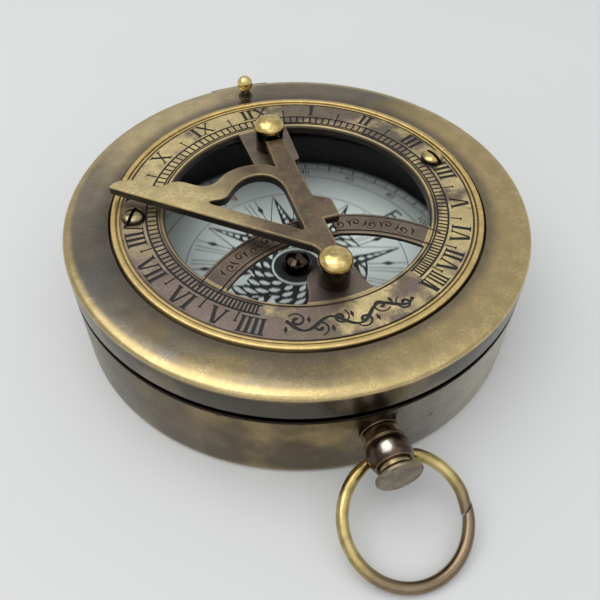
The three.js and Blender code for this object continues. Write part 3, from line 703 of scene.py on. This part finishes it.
def button():
    profile = filleted(
        [
            (0, 34, 0), (0.6, 34, 0.15), (0.6, 44.5, 0), (1.4, 44.5, 0), (1.4, 43.1, 0), (2.3, 43.1, 0.1),
            (2.3, 44.2, 0.05), (2.75, 44.24, 0.1), (3.05, 44.5, 0.5), (3.45, 44.85, 0.12), (3.45, 45.2, 0.15),
            (3.2, 45.4, 0.15), (0, 45.34, 0),
        ]
    )
    piece = lathe("push_button_crown", profile, BUTTON_BRASS, 96, PENDANT_PLACE, smooth=28)
    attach(piece, "button")
    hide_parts("push_button")


def spring():
    """The button's coil spring, built at one length; the real one shortens as the button goes in."""
    seat = 42.2
    start, end = seat + 0.25, 44.25
    coil, wire = 1.1, 0.14
    steps, sides = 108, 10
    rings = []
    for i in range(steps + 1):
        angle = 3 * TAU * i / steps
        rings.append([])
        for k in range(sides):
            turn = TAU * k / sides
            reach = coil + wire * cos(turn)
            along = start + (end - start) * i / steps + wire * sin(turn)
            rings[-1].append((reach * cos(angle), -along, PENDANT_Z + reach * sin(angle)))
    piece = tube("button_coil_spring", rings, STEEL)
    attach(piece, "case")
    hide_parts("button_spring")
    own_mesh(piece)


def bow():
    """The split ring: thinner in its hole, its two ends cut obliquely and sprung a little past each other."""
    wire, neck = 0.88, 0.77
    offset, radius = 0.28, 8.8
    slope = asin((BOW_PIVOT.z - wire - 0.02) / (2 * radius - offset))
    tilt = Matrix.Translation(BOW_PIVOT) @ Matrix.Rotation(slope, 4, "X")
    place = tilt @ Matrix.Translation((0, offset - radius, 0))
    split, overlap, gap = (radians(angle) for angle in (-8, 6, 0.8))
    in_hole, widening, taper = 0.4, 0.15, 0.28
    steps, sides = 180, 24
    rings = []
    for i in range(steps + 1):
        centre_angle = split - overlap + i / steps * (TAU + 2 * overlap)
        rings.append([])
        for k in range(sides):
            turn = TAU * k / sides
            across = cos(turn)
            first = split + across * overlap + gap
            last = split + across * overlap - gap + TAU
            angle = min(max(centre_angle, first), last)
            from_pivot = abs((angle - pi / 2 + pi) % TAU - pi)
            swell = min(1, max(0, (from_pivot - in_hole) / widening))
            thickness = neck + (wire - neck) * swell**2 * (3 - 2 * swell)
            to_start = max(0, 1 - (angle - split) / taper)
            to_end = max(0, 1 - (split + TAU - angle) / taper)
            reach = radius - 0.22 * to_start + 0.06 * to_end
            thickness *= 1 - 0.14 * to_start**2 - 0.1 * to_end**2
            out = Vector((cos(angle), sin(angle), 0))
            rise = Vector((0, 0, thickness * sin(turn)))
            rings[-1].append(place @ (out * (reach + thickness * across) + rise))
    piece = tube("bow_split_ring", rings, BOW_BRASS)
    with editing(piece.data) as work:
        weld(work)
    shade(piece, 45)
    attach(piece, "bow")
    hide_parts("bow_ring")


def refined(node, body, material):
    """A CAD node's own shape with its edges softened."""
    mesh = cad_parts[node].data.copy()
    with editing(mesh) as work:
        weld(work)
        bmesh.ops.dissolve_limit(work, angle_limit=radians(3), verts=work.verts, edges=work.edges)
    piece = placed(node + "_soft_edged", mesh, material)
    step = piece.modifiers.new("soften", "BEVEL")
    step.width = SOFT_EDGE * MM
    step.segments = 2
    step.limit_method = "ANGLE"
    step.angle_limit = radians(40)
    settle(piece)
    crease(piece, SMOOTH_BELOW)
    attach(piece, body)
    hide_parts(node)


# ---- lid and dial


def lid():
    """The top stays flat near the dial and falls ever faster towards the rim."""
    shoulder = []
    steps = 10
    for i in range(steps + 1):
        outward = 1 - i / steps
        shoulder.append((34 + 3 * outward, LID_TOP - 0.36 * outward**2.2, 0))
    profile = filleted(
        [
            (LEDGE_RADIUS, 17.3, 0.1), (SKIRT_INNER_RADIUS, 17.3, 0.3),
            (SKIRT_INNER_RADIUS, LID_BOTTOM, 0.15), (CASE_RADIUS, LID_BOTTOM, 0.2), (CASE_RADIUS, 19.3, 0.75),
        ]
        + shoulder
        + [
            (RECESS_RADIUS, 19.97, 0.22), (RECESS_RADIUS, 18.5, 0.05), (LEDGE_RADIUS, 18.5, 0.1),
        ],
        steps=6,
    )
    piece = lathe("lid_ring", profile, LID_BRASS, 256)
    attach(piece, "lid")
    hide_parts("lid_shell")


NUMERAL_INNER = 24.95
NUMERAL_OUTER = 27.95
NUMERAL_MIDDLE = (NUMERAL_INNER + NUMERAL_OUTER) / 2
LADDER_OUTER = 24.35
LADDER_INNER = 22.65
INNER_LINE = 22.25
ENGRAVED = 0.14
GROOVE_HALF = 0.16
FIRST_HOUR = -8
LAST_HOUR = 8


def hour_azimuth(hour):
    """Where the ray at 15 degrees per hour from the dial's foot meets the numerals' circle."""
    angle = radians(15 * hour)
    along = Vector((sin(angle), cos(angle)))
    foot = Vector((0, DIAL_FOOT_Y))
    towards = foot.dot(along)
    reach = -towards + sqrt(towards**2 - foot.length_squared + NUMERAL_MIDDLE**2)
    spot = foot + along * reach
    return degrees(atan2(spot.x, spot.y))


class Engraver:
    """Collects strokes in layers, so that the strokes of one layer never cross."""

    def __init__(self):
        self.layers = [[], [], []]

    def stroke(self, layer, azimuth, start, end, width, start_radius, end_radius):
        """A straight stroke between two radii, from one distance along the circle to another."""

        def side_to_side(along, radius):
            edges = (along - width / 2, along + width / 2)
            return tuple(polar(azimuth - degrees(edge / NUMERAL_MIDDLE), radius) for edge in edges)

        self.layers[layer].append([side_to_side(start, start_radius), side_to_side(end, end_radius)])

    def serif(self, azimuth, where, radius, reach):
        self.stroke(1, azimuth, where, where, 2 * reach, radius - 0.11, radius + 0.11)


ADVANCE = {"I": 1.16, "V": 2.95, "X": 2.9}
STEM = 0.62
HAIR = 0.34


def numeral(engraver, letters, azimuth, room):
    """Roman figures centred on an azimuth, narrowed where the hours stand close."""
    squeeze = min(1, room / sum(ADVANCE[letter] for letter in letters))
    cursor = -sum(ADVANCE[letter] for letter in letters) * squeeze / 2
    inner = NUMERAL_INNER + 0.1
    outer = NUMERAL_OUTER - 0.1
    for letter in letters:
        advance = ADVANCE[letter] * squeeze
        middle = cursor + advance / 2
        half = advance / 2 - 0.5
        if letter == "I":
            engraver.stroke(0, azimuth, middle, middle, STEM * squeeze, inner, outer)
            engraver.serif(azimuth, middle, inner, advance * 0.46)
            engraver.serif(azimuth, middle, outer, advance * 0.46)
        elif letter == "V":
            engraver.stroke(0, azimuth, middle - half, middle, STEM, inner, outer + 0.1)
            engraver.stroke(2, azimuth, middle + half, middle + 0.25, HAIR, inner, outer + 0.1)
            engraver.serif(azimuth, middle - half, inner, 0.5)
            engraver.serif(azimuth, middle + half, inner, 0.42)
        else:
            engraver.stroke(0, azimuth, middle - half, middle + half, STEM, inner, outer)
            engraver.stroke(2, azimuth, middle + half, middle - half, HAIR, inner, outer)
            for where in (middle - half, middle + half):
                engraver.serif(azimuth, where, inner, 0.45)
                engraver.serif(azimuth, where, outer, 0.45)
        cursor += advance


def hour_room(hour):
    """The width free for an hour's figures, between the marks of the half hours."""
    return radians(hour_azimuth(hour + 0.5) - hour_azimuth(hour - 0.5)) * NUMERAL_MIDDLE - 0.8


def hour_ring_strokes():
    engraver = Engraver()
    east = ["I", "II", "III", "IIII", "V", "VI", "VII", "VIII"]
    west = ["XI", "X", "IX", "VIII", "VII", "VI", "V", "IIII"]
    numeral(engraver, "XII", 0, hour_room(0))
    for i in range(LAST_HOUR):
        numeral(engraver, east[i], hour_azimuth(i + 1), hour_room(i + 1))
        numeral(engraver, west[i], hour_azimuth(-i - 1), hour_room(i + 1))
    for hour in range(FIRST_HOUR, LAST_HOUR):
        azimuth = hour_azimuth(hour + 0.5)
        engraver.stroke(0, azimuth, 0, 0, 0.26, LADDER_OUTER + 0.22, 26.3)
        engraver.serif(azimuth, 0, 26.3, 0.3)
    parts = 8
    for i in range((LAST_HOUR - FIRST_HOUR) * parts + 1):
        azimuth = hour_azimuth(FIRST_HOUR + i / parts)
        engraver.stroke(0, azimuth, 0, 0, 0.36, LADDER_INNER + 0.16, LADDER_OUTER - 0.18)
    end = hour_azimuth(LAST_HOUR) + 1.5
    engraver.layers[0].append(arc_line(-end, end, LADDER_OUTER, 0.34))
    engraver.layers[0].append(arc_line(-end, end, LADDER_INNER, 0.3))
    return engraver.layers


def scroll(azimuth, radius, size, turn, hand, width, centre_y=0):
    """A leafy curl: a spiral that starts broad at its eye and thins out along its tail."""
    path, widths = [], []
    steps = 26
    base_x, base_y = polar(azimuth, radius, centre_y)
    for i in range(steps + 1):
        t = i / steps
        reach = size * (0.16 + 0.84 * t**1.25)
        angle = radians(turn) + hand * 1.25 * TAU * t
        path.append((base_x + reach * cos(angle), base_y + reach * sin(angle)))
        widths.append(width * (1.15 - 0.75 * t))
    return brush(path, widths)


FLOURISH_RADIUS = 25.5


def wave():
    """A wave along the hour ring between the last hours."""
    path, widths = [], []
    steps = 96
    for i in range(steps + 1):
        t = i / steps
        swing = 5 * pi * t + 0.6
        path.append(polar(158.5 + 43 * t, FLOURISH_RADIUS + 1.1 * sin(swing)))
        widths.append(0.6 * (0.55 + 0.45 * abs(cos(swing))))
    return brush(path, widths)


def south_flourish():
    """Generic leafy scrollwork on the hour ring between the last hours."""
    curls, leaves = [], []
    for i in range(6):
        azimuth = 162 + 36 * i / 5
        side = 1 if i % 2 else -1
        curls.append(scroll(azimuth, FLOURISH_RADIUS - side * 0.7, 1.4, 200 + 40 * i, side, 0.5))
        tip = polar(azimuth + 3.2, 25.6 + side * 1.55)
        root = polar(azimuth + 3.2, 25.6 + side * 0.35)
        bend = ((root[0] + tip[0]) / 2, (root[1] + tip[1]) / 2)
        leaves.append(brush([root, bend, tip], [0.1, 0.6, 0.08]))
    return [[wave()], curls, leaves]


def bridge_ornament():
    """Border lines and a chain of curls along both halves of the bridge."""
    middle = (BRIDGE_INNER + BRIDGE_OUTER) / 2
    layers = [[], []]
    layers[0].append(arc_line(-50, 50, BRIDGE_OUTER - 0.55, 0.26, BRIDGE_CENTRE_Y))
    layers[0].append(arc_line(-50, 50, BRIDGE_INNER + 0.65, 0.34, BRIDGE_CENTRE_Y))
    for side in (-1, 1):
        for i in range(5):
            azimuth = side * (12 + 6.2 * i)
            up = 1 if i % 2 else -1
            curl = (azimuth, middle + 0.25 * up, 0.95, 90 * up, side * up, 0.4, BRIDGE_CENTRE_Y)
            layers[0].append(scroll(*curl))
            leaf_path = ((2.6, -0.9), (3.9, -0.1), (4.2, 1))
            path = [polar(azimuth + side * a, middle + b * up, BRIDGE_CENTRE_Y) for a, b in leaf_path]
            layers[1].append(brush(path, [0.1, 0.5, 0.1]))
    return layers


def quadratic(start, control, end, steps=8):
    points = []
    for i in range(1, steps + 1):
        t = i / steps
        a, b, c = (1 - t) ** 2, 2 * t * (1 - t), t**2
        points.append(tuple(a * start[k] + b * control[k] + c * end[k] for k in (0, 1)))
    return points


def cubic(start, first, second, end, steps=14):
    points = []
    for i in range(1, steps + 1):
        t = i / steps
        weights = ((1 - t) ** 3, 3 * t * (1 - t) ** 2, 3 * t**2 * (1 - t), t**3)
        corners = (start, first, second, end)
        points.append(tuple(sum(w * corner[k] for w, corner in zip(weights, corners)) for k in (0, 1)))
    return points


def front_web():
    outline = [(-6.4, -22.6)] + quadratic((-6.4, -22.4), (-4.3, -20.2), (-4.1, -17.6))
    outline += cubic((-4.1, -17.6), (-4, -13.4), (4, -13.4), (4.1, -17.6))
    outline += quadratic((4.1, -17.6), (4.3, -20.2), (6.4, -22.4)) + [(6.4, -22.6)]
    return prism("web", [outline], DIAL_BOTTOM, BRIDGE_TOP + 0.02, DIAL_BRASS, bevel=0.12)


def rear_tongue():
    half = 4
    end = 11.2
    outline = filleted([(half + 0.5, 22.4, 0), (-half - 0.5, 22.4, 0), (-half, end, 0.8), (half, end, 0.8)])
    return prism("tongue", [outline], DIAL_BOTTOM, BRIDGE_TOP - 0.02, DIAL_BRASS, bevel=0.12)


def bridge():
    profile = filleted(
        [
            (BRIDGE_INNER, BRIDGE_BOTTOM, 0.1), (BRIDGE_OUTER, BRIDGE_BOTTOM, 0.1),
            (BRIDGE_OUTER, BRIDGE_TOP, 0.14), (BRIDGE_INNER, BRIDGE_TOP, 0.14),
        ],
        steps=3,
    )
    arch = lathe("bridge", profile, DIAL_BRASS, 256, Matrix.Translation((0, BRIDGE_CENTRE_Y, 0)))
    reach = [(0, DIAL_BOTTOM - 1), (WINDOW_RADIUS + 0.6, DIAL_BOTTOM - 1), (WINDOW_RADIUS + 0.6, 30), (0, 30)]
    return carve(arch, lathe("cutter", reach, BLACK, 256), "INTERSECT")


def groove(radius):
    """The turned groove of a line round the dial, from outside inwards."""
    outer, inner = radius + GROOVE_HALF, radius - GROOVE_HALF
    floor_z = DIAL_TOP - ENGRAVED
    return [(outer, DIAL_TOP, 0), (outer, floor_z, 0), (inner, floor_z, 0), (inner, DIAL_TOP, 0)]


def dial():
    """The hour ring with its bridge, web and tongue, and all that is engraved on it."""
    step = DIAL_TOP + 0.06
    ring = filleted(
        [
            (WINDOW_RADIUS, DIAL_BOTTOM, 0.05), (DIAL_RADIUS, DIAL_BOTTOM, 0.1),
            (DIAL_RADIUS, DIAL_RIM_TOP, 0.28), (DIAL_RADIUS - 0.85, DIAL_RIM_TOP, 0.2),
            (DIAL_RADIUS - 0.9, DIAL_TOP - 0.1, 0), (DIAL_RADIUS - 1.08, DIAL_TOP - 0.1, 0),
            (DIAL_RADIUS - 1.1, step, 0.04), (OUTER_LINE + GROOVE_HALF + 0.04, step, 0.04),
        ]
        + groove(OUTER_LINE)
        + groove(INNER_LINE)
        + [(WINDOW_RADIUS + 0.35, DIAL_TOP, 0.1), (WINDOW_RADIUS, DIAL_TOP - 0.4, 0.1)],
        steps=4,
    )
    piece = lathe("dial", ring, DIAL_BRASS, 288)
    for addition in (bridge(), front_web(), rear_tongue()):
        carve(piece, addition, "UNION")
    lip = [[(-2, -8.6), (4, -8.6), (4, -7.95), (-2, -7.95)]]
    carve(piece, prism("lip", lip, BRIDGE_BOTTOM, BRIDGE_TOP - 0.04, DIAL_BRASS), "UNION")
    notch = [[(-1.2, -8.05), (4, -8.05), (4, -2.5), (-1.2, -2.5)]]
    carve(piece, prism("cutter", notch, DIAL_BOTTOM - 1, DIAL_TOP + 1, BLACK))
    for layer in hour_ring_strokes() + south_flourish():
        engrave(piece, layer, DIAL_TOP, ENGRAVED)
    for layer in bridge_ornament():
        engrave(piece, layer, BRIDGE_TOP, ENGRAVED)
    shade(piece, 30)
    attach(piece, "lid")
    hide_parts("dial_plate")


def screw(node, body, turn, material):
    radius, height = 1.9, 1.1
    low, high = box_mm(node)
    middle = (low + high) / 2
    seat = high.z - height
    dome = [(radius * cos(a), seat + height * (0.3 + 0.7 * sin(a))) for a in quarter(8, 1)]
    dome[-1] = (0, high.z)
    wall = [(radius * 0.96, seat), (radius, seat + height * 0.08), (radius, seat + height * 0.3)]
    profile = [(0, seat)] + wall + dome
    place = Matrix.Translation((middle.x, middle.y, 0))
    piece = lathe(node + "_head", profile, material, 64, place)
    slot_half = radius * 0.15
    slot = [(-slot_half, -3), (slot_half, -3), (slot_half, 3), (-slot_half, 3)]
    spin = Matrix.Rotation(turn, 2)
    loop = [tuple(spin @ Vector(corner) + Vector((middle.x, middle.y))) for corner in slot]
    carve(piece, prism("cutter", [loop], seat + height * 0.3, high.z + 1, material))
    shade(piece, 32)
    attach(piece, body)
    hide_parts(node)


def post(node, y):
    """A turned post: a straight body and a low dome with a small flat on top."""
    seat = DIAL_TOP + 0.05
    equator = POST_TOP - 1.7
    flat = 1
    body = filleted(
        [
            (0, seat, 0), (POST_RADIUS - 0.2, seat, 0.08), (POST_RADIUS - 0.2, equator - 0.3, 0.1),
            (POST_RADIUS, equator - 0.15, 0),
        ],
        steps=4,
    )
    dome = [(POST_RADIUS * cos(a) ** 0.8, equator + 1.66 * sin(a)) for a in quarter(14)[:-1]]
    dome = [point for point in dome if point[0] > flat]
    profile = body + dome + [(flat, POST_TOP - 0.06), (flat * 0.7, POST_TOP - 0.02), (0, POST_TOP - 0.02)]
    piece = lathe(node + "_turned", profile, POST_BRASS, 96, Matrix.Translation((0, y, 0)), smooth=28)
    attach(piece, "lid")
    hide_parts(node)


def bead():
    middle = centre_mm("sight_bead")
    ball = 1.45
    centre_z = 22.6
    profile = [(0, LID_TOP - 0.3)]
    profile += filleted([(1.35, LID_TOP - 0.3, 0), (1.35, LID_TOP + 0.18, 0.1), (0.72, LID_TOP + 0.3, 0.1)])
    profile += [(ball * cos(a), centre_z + ball * sin(a)) for a in quarter(20, start=-acos(0.8 / ball))]
    profile[-1] = (0, centre_z + ball)
    piece = lathe("sight_bead_turned", profile, BEAD_BRASS, 64, Matrix.Translation((0, middle.y, 0)))
    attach(piece, "lid")
    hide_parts("sight_bead")


# ---- gnomon


def gnomon():
    """The folding style: a flat casting with a scrolled inner edge and a finger tail."""
    half = 1.75
    south = box_mm("gnomon")[0].y
    reach, north, _ = box_mm("gnomon")[1]
    tail_south, tail_north = -7.8, -3.4
    outline = [(half, south), (half, tail_south), (reach - 0.25, tail_south), (reach, tail_south + 0.25)]
    outline += [(reach, tail_north - 0.6)]
    outline += quadratic(outline[-1], (reach - 0.3, tail_north), (reach - 1, tail_north + 0.3), 5)
    outline += [(half + 0.2, -2.3), (half, -1.8), (half, north), (0.3 - half, north), (-half, 6.5)]
    for first, second, end in (
        ((-3.4, 7.9), (-5.2, 8.2), (-6.8, 8.1)), ((-9, 7.9), (-10.2, 7.2), (-11.2, 6.2)),
        ((-12, 5.3), (-12.8, 4.9), (-13.9, 5)), ((-15.8, 5.3), (-16.6, 7.5), (-18.6, 7.5)),
        ((-19.6, 7.4), (-20, 6.9), (-20.9, 7.1)), ((-23, 7.6), (-23.6, 9.4), (-25.2, 10.1)),
        ((-26.6, 10.6), (-28, 10.2), (-28.6, 9.3)),
    ):
        outline += cubic(outline[-1], first, second, end, 9)
    outline += [(-1.9, -12.9)]
    outline += quadratic(outline[-1], (-1.3, -13.5), (-1.2, -14.2), 4) + [(-1.2, south)]
    hole = [(-1.85, -9), (-1.85, 0.6)]
    for first, second, end in (
        ((-1.9, 3.6), (-3.6, 5.3), (-5.8, 5.3)), ((-8.2, 5.2), (-9.6, 3.6), (-10.6, 2.2)),
        ((-11.3, 1.2), (-12.2, 1.1), (-13.4, 1.3)),
    ):
        hole += cubic(hole[-1], first, second, end, 9)
    hole += quadratic(hole[-1], (-14.7, 1.3), (-13.8, 0.3), 5) + [(-2.4, -9.2)]
    hole += quadratic(hole[-1], (-2, -9.5), (-1.85, -9), 3)[:-1]
    piece = prism("gnomon_cast", [outline, hole], GNOMON_BOTTOM, GNOMON_TOP, GNOMON_BRASS, bevel=0.34)
    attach(piece, "gnomon")
    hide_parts("gnomon")


# ---- compass card


def ride_card(piece, *nodes):
    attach(piece, "card")
    if nodes:
        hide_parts(*nodes)


CARD_HEADING = -19
INK_LIFT = 0.02


def spoke(azimuth, start, end, start_width, end_width):
    """A straight mark along a ray, with its width in mm at either end."""
    return brush([polar(azimuth, start), polar(azimuth, end)], [start_width, end_width])


def leaf(azimuth, start, end, width):
    """A pointed leaf lying along a ray."""
    third = (end - start) / 3
    path = [polar(azimuth, radius) for radius in (start, start + third, start + 2 * third, end)]
    return brush(path, [0.12, width, width * 0.8, 0.06])


def half_point(azimuth, side):
    """One half of a star point: from the ray's own line out to its shoulder."""
    near = 0.03 * side
    return [
        (polar(azimuth + near, 8.2), polar(azimuth + side * STAR_SPREAD, STAR_WAIST)),
        (polar(azimuth + near, STAR_TIP), polar(azimuth + side * STAR_SPREAD * 0.04, STAR_TIP - 0.2)),
    ]


def card_layer(name, ribbons, layer, material):
    bottom = CARD_TOP + 0.005 + layer * INK_LIFT
    ride_card(inlay(name, ribbons, bottom, bottom + INK_LIFT, material))


STAR_WAIST, STAR_TIP, STAR_SPREAD = 10.6, 19.3, 13.5
STAR_LEAVES = ((10.2, 1, 6.6), (11.9, 0.85, 4.9), (13.5, 0.7, 3.5), (14.9, 0.52, 2.4), (16.2, 0.36, 1.5))
SCALE_PATH = ((-7, -0.5), (-2, 0), (3, 0.35), (7, 0.75))


def card():
    rim = [(CARD_RADIUS, CARD_BOTTOM, 0.1), (CARD_RADIUS, CARD_TOP, 0.12)]
    profile = filleted([(1.5, CARD_BOTTOM, 0)] + rim + [(1.5, CARD_TOP, 0)])
    ride_card(lathe("card_disc", profile, CARD_WHITE, 192), "compass_card")
    card_layer("card_rings", card_rings(), 0, INK)

    dark_halves, white_halves, outlines, leaves = [], [], [], []
    for i in range(8):
        azimuth = CARD_HEADING + 22.5 + 45 * i
        dark_halves.append(half_point(azimuth, 1))
        white_halves.append(half_point(azimuth, -1))
        outline = [polar(azimuth - STAR_SPREAD, STAR_WAIST), polar(azimuth - 0.4, STAR_TIP)]
        outlines.append(brush(outline, [0.2, 0.12]))
        for radius, width, shift in STAR_LEAVES:
            leaves.append(leaf(azimuth + shift, radius - 0.75, radius + 0.6, width))
    card_layer("card_star_dark_halves", dark_halves, 1, INK)
    card_layer("card_star_white_halves", white_halves, 1, INK_WHITE)
    card_layer("card_star_outlines", outlines, 2, INK)
    card_layer("card_star_leaves", leaves, 2, INK_WHITE)

    scales = []
    for row in range(5):
        radius = 5.3 + 1.55 * row
        count = 14 + 4 * row
        for i in range(count):
            azimuth = CARD_HEADING + 360 * (i + 0.5 * (row % 2)) / count
            path = [polar(azimuth + turn, radius + rise) for turn, rise in SCALE_PATH]
            scales.append(brush(path, [0.1, 0.75, 0.85, 0.08]))
    card_layer("card_hub_scales", scales, 0.9, INK_WHITE)
    card_layer("card_hub_ring", [arc_line(0, 360, 4.35, 0.36, step=3)], 1, INK_WHITE)

    rays = []
    for i in range(8):
        middle = CARD_HEADING + 22.5 + 45 * i
        for side in (-1, 1):
            azimuth = middle + side * 11.25
            rays.append(spoke(azimuth, 12.6, 15.2, 0.12, 0.16))
            rays.append(brush([polar(azimuth, r) for r in (15.2, 16.4, 17.6)], [0.14, 0.95, 0.14]))
            rays.append(spoke(azimuth, 17.6, 19.6, 0.16, 0.1))
            for shift in (4.2, 7):
                rays.append(spoke(azimuth + side * shift, 12.8, 19, 0.1, 0.14))
    card_layer("card_fine_rays", rays, 0, INK)
    figures()


def card_rings():
    """Circles, each a radius and a width, and a mark every five degrees with every tenth bolder."""
    circles = ((19.9, 0.12), (25.4, 0.14), (27.9, 0.12), (29.4, 0.22), (7.2, 10.8))
    rings = [arc_line(0, 360, radius, width, step=3) for radius, width in circles]
    for i in range(72):
        start, width = (28, 0.14) if i % 2 else (27.96, 0.24)
        rings.append(spoke(CARD_HEADING + 5 * i, start, 29.28, width, width))
    return rings


def figures():
    """Degree numbers round the card and the four cardinal letters."""
    for i in range(18):
        azimuth = 20 * i
        write(str(azimuth if azimuth else 360), azimuth, 26.65, 1.35, INK, "degrees_%03d" % azimuth)
    for letter, azimuth in (("N", 0), ("E", 90), ("S", 180), ("W", 270)):
        write(letter, azimuth, 22.6, 3.6, INK_RED if letter == "N" else INK, "cardinal_" + letter.lower())


def write(text, azimuth, radius, size, material, name):
    curve = bpy.data.curves.new(name, "FONT")
    curve.body = text
    curve.size = size * MM * 1.35
    curve.align_x = "CENTER"
    curve.align_y = "CENTER"
    curve.extrude = 0.012 * MM
    curve.resolution_u = 3
    holder = placed(name, curve)
    bpy.context.view_layer.update()
    graph = bpy.context.evaluated_depsgraph_get()
    mesh = bpy.data.meshes.new_from_object(holder.evaluated_get(graph))
    bpy.data.objects.remove(holder)
    x, y = polar(CARD_HEADING + azimuth, radius)
    place = Matrix.Translation(Vector((x, y, CARD_TOP + 0.02)) * MM)
    mesh.transform(place @ Matrix.Rotation(-radians(CARD_HEADING + azimuth), 4, "Z"))
    ride_card(placed("card_" + name, mesh, material))


def cap():
    top = box_mm("card_cap")[1].z
    profile = filleted(
        [
            (1.05, CARD_TOP + 0.08, 0), (2.7, CARD_TOP + 0.08, 0.1), (2.7, CARD_TOP + 0.9, 0.3),
            (2.1, CARD_TOP + 1.9, 0.6), (1, top - 0.15, 0.4), (0, top, 0), (0, top - 0.6, 0),
            (1.05, top - 0.9, 0),
        ]
    )
    piece = lathe("card_cap_turned", profile, PENDANT_BRONZE, 64)
    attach(piece, "card")
    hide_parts("card_cap")


# ---- pieces kept from the CAD

KEPT = (
    (STEEL, ("hinge_pin", "pivot_stud", "kick_spring", "kick_spring_screw", "button_stop_ring", "catch_hook")),
    (STEEL, ("needle_magnet", "gnomon_pin_front", "gnomon_pin_rear")),
    (BLACK, ("case_liner", "pivot_plate", "glass_retainer")),
    (RUBBER, ("glass_gasket",)),
    (GLASS, ("compass_glass",)),
    (ruby(), ("card_jewel",)),
    (LID_BRASS, ("lid_strike",)),
)


def dress_kept_nodes():
    for material, nodes in KEPT:
        for node in nodes:
            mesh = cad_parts[node].data
            mesh.materials.clear()
            mesh.materials.append(material)


# ---- camera, light and floor


def camera():
    """At the photograph's viewing angle, 18 degrees west of the pendant's side."""
    azimuth, heading, pitch = (radians(angle) for angle in (18, 18.4, 48.64))
    roll = 0.014
    distance, height = 86.6, 94.62
    flat = cos(pitch)
    forward = Vector((sin(heading) * flat, cos(heading) * flat, -sin(pitch)))
    level = Vector((cos(heading), -sin(heading), 0))
    upright = level.cross(forward)
    right = level * cos(roll) + upright * sin(roll)
    up = upright * cos(roll) - level * sin(roll)
    data = bpy.data.cameras.new("camera")
    data.lens = 41.75
    data.sensor_width = 36
    data.clip_start = 0.01
    eye = placed("camera", data)
    spot = Vector((-distance * sin(azimuth), -distance * cos(azimuth), height)) * MM
    turn = Matrix((right, up, -forward)).transposed().to_4x4()
    eye.matrix_world = Matrix.Translation(spot) @ turn
    bpy.context.scene.camera = eye


def window_light():
    data = bpy.data.lights.new("window", "AREA")
    data.shape = "RECTANGLE"
    data.size = data.size_y = 420 * MM
    data.energy = 0.8
    data.color = (1, 0.99, 0.96)
    lamp = placed("window", data)
    place = Vector((-160, 60, 460))
    lamp.location = place * MM
    lamp.rotation_euler = (-place).to_track_quat("-Z", "Y").to_euler()


def studio():
    """Soft light, brightest from above the viewer and dimmer on the side that the flat brass mirrors."""
    world = bpy.data.worlds.new("studio")
    bpy.context.scene.world = world
    bpy.context.scene.view_settings.view_transform = "Standard"
    sky = Graph(world)
    direction = sky.nodes.new("ShaderNodeTexCoord").outputs["Generated"]
    lobe = Vector((-0.14, -0.42, 0.9)).normalized()
    facing = sky.node("ShaderNodeVectorMath", {0: direction, 1: lobe}, output="Value", operation="DOT_PRODUCT")
    limits = {"Value": facing, "From Min": 0.45, "From Max": 0.95, "To Min": 0.56, "To Max": 1.2}
    glow = sky.node("ShaderNodeMapRange", limits, interpolation_type="SMOOTHSTEP")
    background = sky.nodes["Background"]
    sky.put(background.inputs["Color"], (0.95, 0.97, 1, 1))
    sky.put(background.inputs["Strength"], glow)
    window_light()


def floor():
    size, rows = 900, 13
    ticks = [size * (i / (rows - 1) - 0.5) * 2 for i in range(rows)]
    points = [(x, y, -0.05) for x in ticks for y in ticks]
    starts = [i * rows + j for i in range(rows - 1) for j in range(rows - 1)]
    faces = [(a, a + rows, a + rows + 1, a + 1) for a in starts]
    look = mottled("pale_floor", (0.012, 3), (0.66, 0.665, 0.655), (0.71, 0.715, 0.705))
    ground = made("floor", points, faces, look.finish(0.55))


camera()
studio()
floor()
base()
pendant()
button()
spring()
bow()
refined("base_hinge_leaf", "case", BASE_BRASS)
refined("lid_hinge_leaf", "lid", LID_BRASS)
lid()
dial()
screw("dial_screw_west", "lid", -0.54, DULL_SCREW_BRASS)
screw("dial_screw_east", "lid", 0.27, SCREW_BRASS)
post("front_post", FRONT_POST_Y)
post("rear_post", REAR_POST_Y)
bead()
gnomon()
card()
cap()
dress_kept_nodes()
